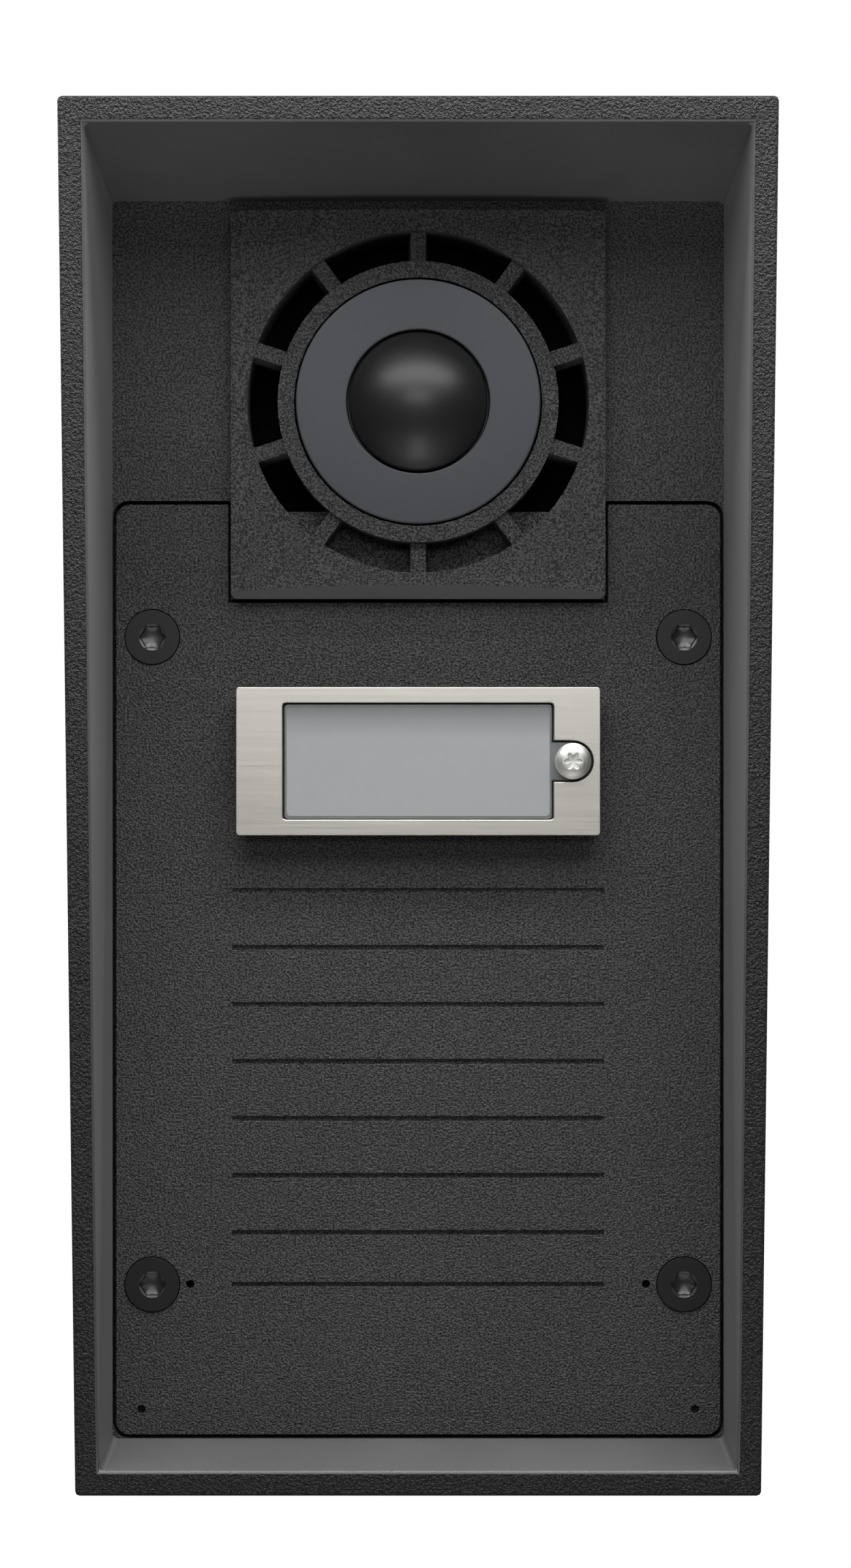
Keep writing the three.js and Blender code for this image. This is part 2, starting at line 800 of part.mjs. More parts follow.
function speakerCone() {
  const coilInner = coilRadius - coilThickness / 2;
  const coilOuter = coilRadius + coilThickness / 2;
  const coilEnd = magnetFront - coilReach;
  const capHeight = dustCapHeight;
  return turned(
    [
      [0, coneFoot + capHeight - coneThickness],
      [coilInner * 0.6, coneFoot + capHeight * 0.65 - coneThickness],
      [coilInner, coneFoot - coneThickness],
      [coilInner, coilEnd],
      [coilOuter, coilEnd],
      [coilOuter, coneFoot - coneThickness],
      [coneOuter, coneRim - coneThickness],
      [coneOuter, coneRim],
      [coilOuter, coneFoot],
      [coilInner * 0.6, coneFoot + capHeight * 0.65],
      [0, coneFoot + capHeight],
    ],
    24,
  );
}

function speakerSurround() {
  const middle = (surroundInner + surroundOuter) / 2;
  const half = (surroundOuter - surroundInner) / 2;
  const base = coneRim - coneThickness;
  return turned(
    [
      [surroundInner, base],
      [middle, base + half * 0.5],
      [surroundOuter, base],
      [surroundOuter, base + coneThickness],
      [middle, base + coneThickness + half * 0.6],
      [surroundInner, base + coneThickness],
      [surroundInner, base],
    ],
    24,
  );
}

function trimDisc() {
  const bore = domeRadius + fitGap;
  const rebateRadius = domeRadius + domeFlange + fitGap;
  return turned([
    [bore, discBack + discRebate],
    [rebateRadius, discBack + discRebate],
    [rebateRadius, discBack],
    [discRadius, discBack],
    [discRadius, discFront],
    [bore, discFront],
    [bore, discBack + discRebate],
  ]);
}

// Points of a spherical cap's profile, from its edge to its top.
function capProfile(radius, rise, edgeDepth, steps) {
  const sphere = (radius ** 2 + rise ** 2) / (2 * rise);
  const widest = Math.asin(radius / sphere);
  const points = [];
  for (let index = 0; index <= steps; index += 1) {
    const angle = widest * (1 - index / steps);
    const height = sphere * Math.cos(angle) - (sphere - rise);
    points.push([sphere * Math.sin(angle), edgeDepth + height]);
  }
  points[steps][0] = 0;
  return points;
}

function domeCover() {
  const flangeRadius = domeRadius + domeFlange;
  const flangeBackDepth = domeFlangeFront - domeFlangeThickness;
  const bore = domeRadius - domeWall;
  const outerCap = capProfile(domeRadius, domeRise, discFront, 5);
  const innerCap = capProfile(bore, domeRise - domeWall + 0.3, discFront - 0.3, 4).reverse();
  return turned([
    ...innerCap,
    [bore, flangeBackDepth],
    [flangeRadius, flangeBackDepth],
    [flangeRadius, domeFlangeFront],
    [domeRadius, domeFlangeFront],
    ...outerCap,
  ]);
}

function domeSeal() {
  const outer = domeRadius + domeFlange;
  return ring(domeRadius + fitGap, outer, domeSealFront - domeSealThickness, domeSealFront, 24);
}

function cameraCup() {
  const outer = ringBore - 2 * seatGap;
  const inner = outer - cupWall;
  return turned([
    [0, cupBack],
    [outer, cupBack],
    [outer, cupFront],
    [inner, cupFront],
    [inner, cupBack + cupFloor],
    [0, cupBack + cupFloor],
  ]);
}

function cameraBoard() {
  const half = cameraBoardSize / 2;
  return plate(-half, half, -half, half, cameraBoardBack, cameraBoardBack + boardThickness, boardCorner);
}

function lensBarrel() {
  const shoulder = barrelBack + barrelHeight / 2;
  const front = barrelBack + barrelHeight;
  return turned(
    [
      [0, barrelBack],
      [barrelBaseRadius, barrelBack],
      [barrelBaseRadius, shoulder],
      [barrelRadius, shoulder],
      [barrelRadius, front],
      [lensRadius + fitGap, front],
      [lensRadius + fitGap, front - lensSeatDepth],
      [0, front - lensSeatDepth],
    ],
    20,
  );
}

function frontLens() {
  const back = barrelBack + barrelHeight - lensSeatDepth + seatGap;
  const bulge = capProfile(lensRadius, lensBulge, back + lensThickness, 3);
  return turned([[0, back], [lensRadius, back], ...bulge], 20);
}

function frontCover() {
  const blank = solidOf(slab(coverOutline(0, coverCorner), coverBack, deckDepth));
  const notchSide = blockSide + notchGap;
  const behind = coverBack - overshoot;
  const ahead = deckDepth + overshoot;
  const notch = box(-notchSide, notchSide, notchBottom, coverTop + overshoot, behind, ahead);
  let body = cut(blank, notch);
  for (const [x, y] of coverScrewPlaces()) {
    body = join(body, rod(x, y, coverBossRadius, ledgeDepth + seatGap, coverBack + fitGap, 16));
    const seat = coverScrewSeat - seatGap;
    body = cut(body, rod(x, y, coverScrew.shankRadius + fitGap, ledgeDepth, ahead, 12));
    body = cut(body, rod(x, y, coverScrew.headRadius + fitGap, seat, ahead, 24));
  }
  for (const x of [-postX, postX]) {
    body = join(body, rod(x, buttonY, postRadius, buttonBoardFront + seatGap, coverBack + fitGap, 12));
    const hole = smallScrew.shankRadius + fitGap;
    const end = buttonBoardFront + postHoleDepth;
    body = cut(body, rod(x, buttonY, hole, buttonBoardFront, end, screwSides));
  }
  const openingX = stemHalfWidth + sealOuter;
  const openingY = stemHalfHeight + sealOuter;
  const stemHole = [-openingX, openingX, buttonY - openingY, buttonY + openingY];
  body = cut(body, plate(...stemHole, behind, ahead, sealCorner + fitGap));
  body = cut(body, ...coverGrooves(), ...coverPinholes());
  return geometryOf(body);
}

// Grooves go down at an even pitch, and the last one lines up with the lower screws.
function coverGrooves() {
  const first = blockBottom - firstGrooveDrop;
  const even = Math.max(1, Math.min(grooveCount - 1, Math.round((first - lowerScrewY) / groovePitch)));
  const heights = [lowerScrewY];
  for (let index = 0; index < even; index += 1) {
    heights.push(first - index * groovePitch);
  }
  const half = grooveWidth / 2;
  const x = grooveHalfLength;
  const floor = deckDepth - grooveDepth;
  return heights.map((y) => box(-x, x, y - half, y + half, floor, deckDepth + overshoot));
}

function coverPinholes() {
  const cutters = [];
  for (const direction of [-1, 1]) {
    const portX = direction * (coverSide - microphoneInset);
    const front = deckDepth + overshoot;
    cutters.push(rod(portX, lowerScrewY, pinholeRadius, coverBack - overshoot, front, 8));
    const dimpleX = direction * (coverSide - dimpleInset);
    const dimpleY = coverBottom + dimpleInset;
    cutters.push(rod(dimpleX, dimpleY, pinholeRadius, deckDepth - dimpleDepth, front, 8));
  }
  return cutters;
}

// The port lies beside the cover screw, so the capsule sits further in and a duct joins the two.
function microphonePlaces() {
  const port = coverSide - microphoneInset;
  return { port, capsule: port - capsuleOffset, outer: port + bootOuter, inner: port - bootInner };
}

function microphoneBoot() {
  const { port, capsule, outer, inner } = microphonePlaces();
  const front = coverBack - seatGap;
  const back = front - bootThickness;
  const y = lowerScrewY;
  const body = solidOf(box(inner, outer, y - bootHalfHeight, y + bootHalfHeight, back, front));
  const pocket = rod(capsule, y, capsuleRadius + fitGap, back - overshoot, front - bootFrontWall, 16);
  const ductBack = front - bootFrontWall - ductHalf;
  const duct = box(capsule, port + ductHalf, y - ductHalf, y + ductHalf, ductBack, ductBack + 2 * ductHalf);
  const mouth = rod(port, y, ductHalf, ductBack + ductHalf, front + overshoot, 8);
  return geometryOf(cut(body, pocket, duct, mouth));
}

function microphoneCapsule() {
  const front = coverBack - seatGap - bootFrontWall - fitGap;
  return rod(microphonePlaces().capsule, lowerScrewY, capsuleRadius, front - capsuleLength, front, 16);
}

function buttonSeal() {
  const x = stemHalfWidth + fitGap;
  const y = stemHalfHeight + fitGap;
  const outerX = x + sealWidth - fitGap;
  const outerY = y + sealWidth - fitGap;
  const back = coverBack + fitGap;
  const front = back + sealThickness;
  const outer = solidOf(plate(-outerX, outerX, -outerY, outerY, back, front, sealCorner));
  return geometryOf(cut(outer, plate(-x, x, -y, y, back - overshoot, front + overshoot, stemCorner)));
}

function buttonBoard() {
  const x = buttonBoardSide;
  const y = buttonBoardHalfHeight;
  const back = buttonBoardFront - boardThickness;
  const body = solidOf(plate(-x, x, -y, y, back, buttonBoardFront, boardCorner));
  const hole = smallScrew.shankRadius + fitGap;
  const holes = [-postX, postX].map((holeX) =>
    rod(holeX, 0, hole, back - overshoot, buttonBoardFront + overshoot, screwSides),
  );
  return geometryOf(cut(body, ...holes));
}

function switchBody() {
  const half = switchSize / 2;
  const back = buttonBoardFront + seatGap;
  const front = back + switchHeight;
  const body = solidOf(box(-half, half, -half, half, back, front));
  return geometryOf(cut(body, rod(0, 0, plungerRadius + fitGap, back + 2 * fitGap, front + overshoot, 16)));
}

function switchPlunger() {
  const front = stemEnd - seatGap;
  return rod(0, 0, plungerRadius, front - plungerLength, front, 16);
}

function backlight() {
  const back = buttonBoardFront + seatGap;
  const { halfWidth, halfHeight, thickness } = backlightSize;
  return box(-halfWidth, halfWidth, -halfHeight, halfHeight, back, back + thickness);
}

function buttonCarrier() {
  const x = namePlateWidth / 2 - carrierInset;
  const y = namePlateHeight / 2 - carrierInset;
  let body = solidOf(plate(-x, x, -y, y, carrierBack, carrierFront, plateCorner));
  const stem = [-stemHalfWidth, stemHalfWidth, -stemHalfHeight, stemHalfHeight];
  body = join(body, plate(...stem, stemEnd, carrierBack + fitGap, stemCorner));
  const hookFront = coverBack - fitGap;
  const hookX = stemHalfWidth + snapReach;
  body = join(
    body,
    box(-hookX, hookX, -snapHalfWidth, snapHalfWidth, hookFront - snapThickness, hookFront),
  );
  for (const spring of [-springX, springX]) {
    const radius = springRadius + springWire + springSocketRoom;
    body = cut(body, rod(spring, 0, radius, stemEnd - overshoot, stemEnd + springSocketDepth, 16));
  }
  const screwRadius = labelScrew.shankRadius + fitGap;
  const screwHole = rod(windowTabX, 0, screwRadius, carrierBack - fitGap / 2, carrierFront + overshoot, 12);
  body = cut(body, screwHole);
  return geometryOf(body);
}

function windowOutline(margin) {
  const x = windowWidth / 2 - margin;
  const y = windowHeight / 2 - margin;
  return [-x, x, -y, y];
}

function windowSolid(margin, back, front) {
  const glass = solidOf(plate(...windowOutline(margin), back, front, plateCorner));
  const tab = windowTabRadius - margin;
  const neck = box(windowWidth / 2 - windowTabRadius, windowTabX, -tab, tab, back, front);
  return join(glass, neck, rod(windowTabX, 0, tab, back, front, 24));
}

function namePlate() {
  const x = namePlateWidth / 2;
  const y = namePlateHeight / 2;
  const body = solidOf(plate(-x, x, -y, y, namePlateBack, namePlateFront, plateCorner));
  return geometryOf(body.subtract(windowSolid(0, namePlateBack - overshoot, namePlateFront + overshoot)));
}

function labelWindow() {
  const body = windowSolid(fitGap, windowBack, windowBack + windowThickness);
  const radius = labelScrew.shankRadius + fitGap;
  const hole = rod(windowTabX, 0, radius, windowBack - overshoot, namePlateFront + overshoot, 12);
  return geometryOf(cut(body, hole));
}

function nameLabel() {
  return plate(...windowOutline(2 * fitGap), labelBack, labelBack + labelThickness, plateCorner);
}

class Helix extends THREE.Curve {
  constructor(radius, length, turns) {
    super();
    this.radius = radius;
    this.length = length;
    this.turns = turns;
  }

  getPoint(share, target = new THREE.Vector3()) {
    const angle = 2 * Math.PI * this.turns * share;
    return target.set(this.radius * Math.cos(angle), this.radius * Math.sin(angle), this.length * share);
  }
}

function returnSpring() {
  const back = buttonBoardFront + seatGap + springWire;
  const front = stemEnd + springSocketDepth - seatGap - springWire;
  const wire = new THREE.Shape();
  wire.absarc(0, 0, springWire, 0, 2 * Math.PI, false);
  const geometry = new THREE.ExtrudeGeometry(wire, {
    steps: springTurns * 10,
    extrudePath: new Helix(springRadius, front - back, springTurns),
    bevelEnabled: false,
    curveSegments: 2,
  });
  return shifted(geometry, 0, 0, back);
}

function mainBoard() {
  const x = mainBoardSide;
  const outline = [-x, x, mainBoardBottom, mainBoardTop];
  const body = solidOf(plate(...outline, mainBoardBack, mainBoardFront, boardCorner));
  const hole = smallScrew.shankRadius + fitGap;
  const holes = mainBoardScrewPlaces().map(([holeX, y]) =>
    rod(holeX, y, hole, mainBoardBack - overshoot, mainBoardFront + overshoot, screwSides),
  );
  return geometryOf(cut(body, ...holes));
}

function processor() {
  const { half, thickness } = processorSize;
  return box(-half, half, -half, half, partBase, partBase + thickness);
}

function heatSink() {
  const back = partBase + processorSize.thickness + seatGap;
  const { half, base, height, finCount, finWidth } = heatSinkSize;
  const finPitch = (2 * half - finWidth) / (finCount - 1);
  let body = solidOf(box(-half, half, -half, half, back, back + base));
  for (let index = 0; index < finCount; index += 1) {
    const left = -half + index * finPitch;
    body = join(body, box(left, left + finWidth, -half, half, back + base / 2, back + height));
  }
  return geometryOf(body);
}

function networkJack() {
  const { halfWidth, length, height, back } = jackSize;
  const body = solidOf(box(-halfWidth, halfWidth, 0, length, partBase, partBase + height));
  const { halfWidth: mouthHalf, low, high } = jackMouth;
  const mouth = box(-mouthHalf, mouthHalf, -overshoot, length - back, partBase + low, partBase + high);
  return geometryOf(cut(body, mouth));
}

function terminalBlock() {
  const { ways, pitch, length, height } = terminalSize;
  const halfWidth = (ways * pitch) / 2;
  const front = partBase + height;
  const { halfWidth: mouthHalf, length: mouthLength, low, high } = terminalMouth;
  let body = solidOf(box(-halfWidth, halfWidth, 0, length, partBase, front));
  for (let index = 0; index < ways; index += 1) {
    const x = -halfWidth + (index + 0.5) * pitch;
    const mouth = box(x - mouthHalf, x + mouthHalf, -overshoot, mouthLength, partBase + low, partBase + high);
    const well = rod(x, length / 2, terminalScrew.radius, front - terminalScrew.depth, front + overshoot, 8);
    body = cut(body, mouth, well);
  }
  return geometryOf(body);
}

function relay() {
  const { halfWidth, halfHeight, thickness, corner } = relaySize;
  return plate(-halfWidth, halfWidth, -halfHeight, halfHeight, partBase, partBase + thickness, corner);
}

const panel = new THREE.Group();

function addPiece(name, geometry, look, x = 0, y = 0, z = 0) {
  const [color, roughness, metalness] = look;
  const material = new THREE.MeshStandardMaterial({ color, roughness, metalness });
  const mesh = new THREE.Mesh(geometry, material);
  mesh.name = name;
  mesh.position.set(x, y, z);
  panel.add(mesh);
}

function addEach(name, places, makeGeometry, look, z) {
  places.forEach(([x, y], index) => addPiece(`${name}_${index + 1}`, makeGeometry(), look, x, y, z));
}

const paint = [0x3b3b3c, 0.7, 0.2];
const greyPaint = [0x4e4f53, 0.5, 0.2];
const blackSteel = [0x242426, 0.35, 0.6];
const brushedSteel = [0xcfcdc6, 0.35, 0.9];
const zincSteel = [0x9a9c9f, 0.4, 0.8];
const rubber = [0x161617, 0.85, 0];
const blackPlastic = [0x1b1b1c, 0.5, 0];
const smokedPlastic = [0x1a1a1c, 0.18, 0];
const clearPlastic = [0xe8ecee, 0.1, 0];
const milkyPlastic = [0xd8dadb, 0.5, 0];
const paper = [0xb4b5b7, 0.8, 0];
const circuitGreen = [0x1d4a2c, 0.6, 0];
const fibreMesh = [0x0b0b0c, 0.95, 0];
const glass = [0x203040, 0.05, 0];

addPiece("housing_casting", housingCasting(), paint);
addPiece("back_plate", backPlate(), zincSteel);
addPiece("back_gasket", backGasket(), rubber);
addEach(
  "back_plate_screw",
  plateScrewPlaces(),
  () => screwFromBehind(plateScrew, screwSides),
  zincSteel,
  plateScrew.headHeight,
);
addPiece("cable_grommet", cableGrommet(), rubber, 0, cableHoleY);
addPiece("cover_gasket", coverGasket(), rubber);

addPiece("acoustic_mesh", acousticMesh(), fibreMesh, 0, ringY);
addPiece("speaker_gasket", speakerGasket(), rubber, 0, ringY);
addPiece("speaker_basket", speakerBasket(), blackSteel, 0, ringY);
addPiece("speaker_magnet", speakerMagnet(), zincSteel, 0, ringY);
addPiece("speaker_cone", speakerCone(), fibreMesh, 0, ringY);
addPiece("speaker_surround", speakerSurround(), rubber, 0, ringY);
addEach(
  "speaker_screw",
  speakerScrewPlaces(),
  () => screwFromBehind(smallScrew, screwSides),
  zincSteel,
  flangeBack - seatGap,
);

addPiece("trim_disc", trimDisc(), greyPaint, 0, ringY);
addPiece("dome_cover", domeCover(), smokedPlastic, 0, ringY);
addPiece("dome_seal", domeSeal(), rubber, 0, ringY);
addPiece("camera_cup", cameraCup(), blackPlastic, 0, ringY);
addPiece("camera_board", cameraBoard(), circuitGreen, 0, ringY);
addPiece("lens_barrel", lensBarrel(), blackPlastic, 0, ringY);
addPiece("front_lens", frontLens(), glass, 0, ringY);

addPiece("main_board", mainBoard(), circuitGreen);
addEach(
  "main_board_screw",
  mainBoardScrewPlaces(),
  () => screw(smallScrew, screwSides),
  zincSteel,
  mainBoardFront + seatGap,
);
const processorY = mainBoardTop - processorDrop;
const jackY = mainBoardBottom + jackRise;
addPiece("processor", processor(), blackPlastic, processorX, processorY);
addPiece("heat_sink", heatSink(), zincSteel, processorX, processorY);
addPiece("network_jack", networkJack(), zincSteel, jackX, jackY);
addPiece("terminal_block", terminalBlock(), milkyPlastic, terminalX, jackY);
addPiece("relay", relay(), blackPlastic, relayX, mainBoardTop - relayDrop);

addPiece("front_cover", frontCover(), paint);
addEach("cover_screw", coverScrewPlaces(), () => screw(coverScrew, 20), blackSteel, coverScrewSeat);
addPiece("microphone_boot_right", microphoneBoot(), rubber);
addPiece("microphone_boot_left", microphoneBoot().rotateZ(Math.PI), rubber, 0, 2 * lowerScrewY);
addPiece("microphone_right", microphoneCapsule(), zincSteel);
addPiece("microphone_left", microphoneCapsule().rotateZ(Math.PI), zincSteel, 0, 2 * lowerScrewY);
addPiece("button_seal", buttonSeal(), rubber, 0, buttonY);
addPiece("button_board", buttonBoard(), circuitGreen, 0, buttonY);
const buttonBoardScrews = [
  [-postX, buttonY],
  [postX, buttonY],
];
addEach(
  "button_board_screw",
  buttonBoardScrews,
  () => screwFromBehind(smallScrew, screwSides),
  zincSteel,
  buttonBoardFront - boardThickness - seatGap,
);
addPiece("switch_body", switchBody(), blackPlastic, 0, buttonY);
addPiece("switch_plunger", switchPlunger(), milkyPlastic, 0, buttonY);
addPiece("backlight_left", backlight(), milkyPlastic, -backlightX, buttonY);
addPiece("backlight_right", backlight(), milkyPlastic, backlightX, buttonY);

addPiece("button_carrier", buttonCarrier(), milkyPlastic, 0, buttonY);
addPiece("name_plate", namePlate(), brushedSteel, 0, buttonY);
addPiece("name_label", nameLabel(), paper, 0, buttonY);
addPiece("label_window", labelWindow(), clearPlastic, 0, buttonY);
const labelScrewSeat = namePlateFront + seatGap;
addPiece("label_screw", screw(labelScrew, 20), brushedSteel, windowTabX, buttonY, labelScrewSeat);
addPiece("return_spring_left", returnSpring(), zincSteel, -springX, buttonY);
addPiece("return_spring_right", returnSpring(), zincSteel, springX, buttonY);

// Stand the panel up: the wall plane becomes y = 0 and the front faces -Y.
const intercom = new THREE.Group();
panel.rotation.x = Math.PI / 2;
intercom.add(panel);

export default intercom;
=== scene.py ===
import math

import bmesh
import bpy
from mathutils import Matrix, Vector


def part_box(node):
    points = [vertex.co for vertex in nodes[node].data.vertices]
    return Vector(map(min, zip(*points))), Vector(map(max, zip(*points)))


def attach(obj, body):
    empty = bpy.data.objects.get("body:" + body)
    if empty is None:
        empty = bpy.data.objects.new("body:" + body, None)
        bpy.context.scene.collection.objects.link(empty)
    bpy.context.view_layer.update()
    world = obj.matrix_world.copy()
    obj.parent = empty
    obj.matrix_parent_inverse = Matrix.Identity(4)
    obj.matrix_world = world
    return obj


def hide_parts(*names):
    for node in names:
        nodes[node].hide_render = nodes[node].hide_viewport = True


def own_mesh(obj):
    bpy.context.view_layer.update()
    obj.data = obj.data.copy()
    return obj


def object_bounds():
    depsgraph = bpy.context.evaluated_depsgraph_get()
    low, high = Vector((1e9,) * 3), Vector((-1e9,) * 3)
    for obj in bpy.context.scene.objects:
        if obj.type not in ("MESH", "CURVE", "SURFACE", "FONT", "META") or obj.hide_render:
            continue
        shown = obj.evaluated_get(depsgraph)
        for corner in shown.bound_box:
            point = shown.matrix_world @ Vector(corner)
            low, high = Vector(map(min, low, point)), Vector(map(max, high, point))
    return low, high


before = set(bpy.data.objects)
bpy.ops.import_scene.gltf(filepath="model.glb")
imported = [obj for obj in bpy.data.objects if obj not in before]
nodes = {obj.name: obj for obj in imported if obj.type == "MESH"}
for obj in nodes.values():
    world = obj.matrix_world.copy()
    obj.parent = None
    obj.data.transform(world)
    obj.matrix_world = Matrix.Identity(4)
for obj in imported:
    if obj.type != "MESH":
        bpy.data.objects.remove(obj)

cadLow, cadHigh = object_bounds()
mm = 0.001
mergeDistance = 0.002 * mm


# Shader expressions: a socket that adds its own Math nodes.
class Value:
    def __init__(self, finish, socket):
        self.finish = finish
        self.socket = socket

    def math(self, operation, *others):
        return self.finish.make("ShaderNodeMath", {"operation": operation}, [self, *others])

    def __add__(self, other):
        return self.math("ADD", other)

    def __sub__(self, other):
        return self.math("SUBTRACT", other)

    def __mul__(self, other):
        return self.math("MULTIPLY", other)

    def __truediv__(self, other):
        return self.math("DIVIDE", other)

    def __gt__(self, other):
        return self.math("GREATER_THAN", other)

    def __rsub__(self, other):
        return self.finish.make("ShaderNodeMath", {"operation": "SUBTRACT"}, [other, self])

    __radd__ = __add__
    __rmul__ = __mul__


class Finish:
    def __init__(self, name, **constants):
        self.data = bpy.data.materials.new(name)
        self.data.use_nodes = True
        self.tree = self.data.node_tree
        self.shader = self.tree.nodes["Principled BSDF"]
        self.place = self.make("ShaderNodeTexCoord", output="Object")
        for socket, constant in constants.items():
            self.shader.inputs[socket.replace("_", " ")].default_value = constant

    def make(self, kind, settings=None, inputs=None, output=0):
        node = self.tree.nodes.new(kind)
        for key, setting in (settings or {}).items():
            if key == "stops":
                self.setStops(node.color_ramp, setting)
            else:
                setattr(node, key, setting)
        pairs = inputs.items() if isinstance(inputs, dict) else enumerate(inputs or [])
        for key, content in pairs:
            if isinstance(content, Value):
                self.tree.links.new(content.socket, node.inputs[key])
            else:
                node.inputs[key].default_value = content
        return Value(self, node.outputs[output])

    def setStops(self, ramp, stops):
        while len(ramp.elements) < len(stops):
            ramp.elements.new(1.0)
        for element, (position, color) in zip(ramp.elements, stops):
            element.position = position
            element.color = (*color, 1.0)

    def noise(self, scale, detail=2.0, roughness=0.5, stretch=(1, 1, 1), output="Fac"):
        vector = self.place
        if stretch != (1, 1, 1):
            vector = self.make("ShaderNodeMapping", inputs={"Vector": self.place, "Scale": stretch})
        inputs = {"Vector": vector, "Scale": scale, "Detail": detail, "Roughness": roughness}
        return self.make("ShaderNodeTexNoise", inputs=inputs, output=output)

    def blend(self, amount, first, second):
        inputs = {0: amount, 6: first, 7: second}
        return self.make("ShaderNodeMix", {"data_type": "RGBA"}, inputs, output=2)

    def feed(self, socket, value):
        self.tree.links.new(value.socket, self.shader.inputs[socket])

    # Lifts a stage surface to a pale tone for the viewer, without lighting what stands on it.
    def glow(self, share):
        viewed = self.make("ShaderNodeLightPath", output="Is Camera Ray")
        pale = self.make("ShaderNodeEmission", inputs={"Color": (1, 1, 1, 1), "Strength": 1.0})
        lifted = self.make("ShaderNodeMixShader", inputs={0: viewed * share, 2: pale})
        self.tree.links.new(self.shader.outputs[0], lifted.socket.node.inputs[1])
        self.tree.links.new(lifted.socket, self.tree.nodes["Material Output"].inputs["Surface"])

    def bump(self, height, distance, strength=1.0):
        inputs = {"Height": height, "Distance": distance, "Strength": strength}
        self.feed("Normal", self.make("ShaderNodeBump", inputs=inputs, output="Normal"))


def shade(level):
    return (level, level, level * 1.01, 1.0)


def powderCoat(name, grainScale, height, color, roughness, speckle, sheen=0.1):
    finish = Finish(name, Specular_IOR_Level=0.5, Sheen_Weight=sheen, Sheen_Roughness=0.35)
    coarse = finish.noise(grainScale, 2.0, 0.55)
    fine = finish.noise(grainScale * 2.3, 1.0, 0.5)
    grain = coarse * 0.75 + fine * 0.25
    patches = finish.noise(45, 3.0)
    amount = (grain - 0.5) * speckle * 4 + (patches - 0.5) * 0.3 + 0.5
    finish.feed("Base Color", finish.blend(amount, shade(color * 0.3), shade(color * 1.7)))
    finish.feed("Roughness", roughness + (patches - 0.5) * 0.1 + (grain - 0.5) * 0.3)
    finish.bump(grain, height)
    return finish.data


def brushedSteel(name, color, roughness, across=9000, along=60):
    finish = Finish(name, Metallic=1.0, Anisotropic=0.25, Anisotropic_Rotation=0.25)
    streaks = finish.noise(1.0, 3.0, 0.7, (along, across, across))
    broad = finish.noise(1.0, 2.0, 0.5, (20, 900, 900))
    tone = streaks * 0.6 + broad * 0.4
    dark = tuple(part * 0.72 for part in color) + (1.0,)
    bright = tuple(min(1.0, part * 1.18) for part in color) + (1.0,)
    finish.feed("Base Color", finish.blend(tone, dark, bright))
    finish.feed("Roughness", roughness + (streaks - 0.5) * 0.3)
    finish.bump(streaks, 0.00001, 0.6)
    return finish.data


def moulded(name, color, roughness, grainScale=2500, height=0.00001, **constants):
    finish = Finish(name, **constants)
    grain = finish.noise(grainScale, 2.0)
    patches = finish.noise(70, 3.0)
    dark = tuple(part * 0.82 for part in color) + (1.0,)
    bright = tuple(min(1.0, part * 1.15) for part in color) + (1.0,)
    finish.feed("Base Color", finish.blend(patches * 0.6 + grain * 0.4, dark, bright))
    finish.feed("Roughness", roughness + (grain - 0.5) * 0.15 + (patches - 0.5) * 0.1)
    finish.bump(grain, height)
    return finish.data


def zincPlate(name):
    finish = Finish(name, Metallic=1.0)
    inputs = {"Vector": finish.place, "Scale": 320.0}
    cells = finish.make("ShaderNodeTexVoronoi", inputs=inputs, output="Color")
    grey = finish.make("ShaderNodeSeparateColor", inputs=[cells])
    cloud = finish.noise(160, 4.0)
    tone = grey * 0.45 + cloud * 0.55
    finish.feed("Base Color", finish.blend(tone, (0.36, 0.37, 0.38, 1), (0.47, 0.48, 0.49, 1)))
    finish.feed("Roughness", 0.36 + cloud * 0.12)
    finish.bump(cloud, 0.00001, 0.4)
    return finish.data


def circuitBoard(name):
    finish = Finish(name, Coat_Roughness=0.15)
    tracks = finish.make(
        "ShaderNodeTexBrick",
        {"offset": 0.37, "squash": 0.6},
        {
            "Vector": finish.place,
            "Color1": (0.010, 0.075, 0.028, 1),
            "Color2": (0.008, 0.060, 0.022, 1),
            "Mortar": (0.020, 0.130, 0.050, 1),
            "Scale": 120.0,
            "Mortar Size": 0.03,
        },
        output="Color",
    )
    cloud = finish.noise(900, 2.0)
    finish.feed("Base Color", finish.blend(cloud * 0.25, tracks, (0.006, 0.045, 0.018, 1)))
    finish.feed("Roughness", 0.32 + cloud * 0.15)
    finish.bump(cloud, 0.00002, 0.5)
    return finish.data


def smokedDome(name):
    finish = Finish(name, Coat_Weight=0.35, Coat_Roughness=0.32)
    cloud = finish.noise(120, 3.0)
    fine = finish.noise(2600, 2.0)
    tint = finish.blend(cloud, (0.007, 0.007, 0.008, 1), (0.015, 0.015, 0.016, 1))
    finish.feed("Base Color", tint)
    finish.feed("Roughness", 0.44 + (cloud - 0.5) * 0.06 + (fine - 0.5) * 0.05)
    finish.bump(fine, 0.000004, 0.5)
    return finish.data


def clearWindow(name):
    finish = Finish(name, IOR=1.45)
    haze = finish.noise(300, 3.0)
    finish.feed("Base Color", finish.blend(haze, (0.56, 0.57, 0.58, 1), (0.60, 0.61, 0.62, 1)))
    finish.feed("Roughness", 0.10 + haze * 0.08)
    finish.feed("Alpha", 0.20 + haze * 0.04)
    finish.bump(finish.noise(30, 1.0), 0.000004, 0.1)
    return finish.data


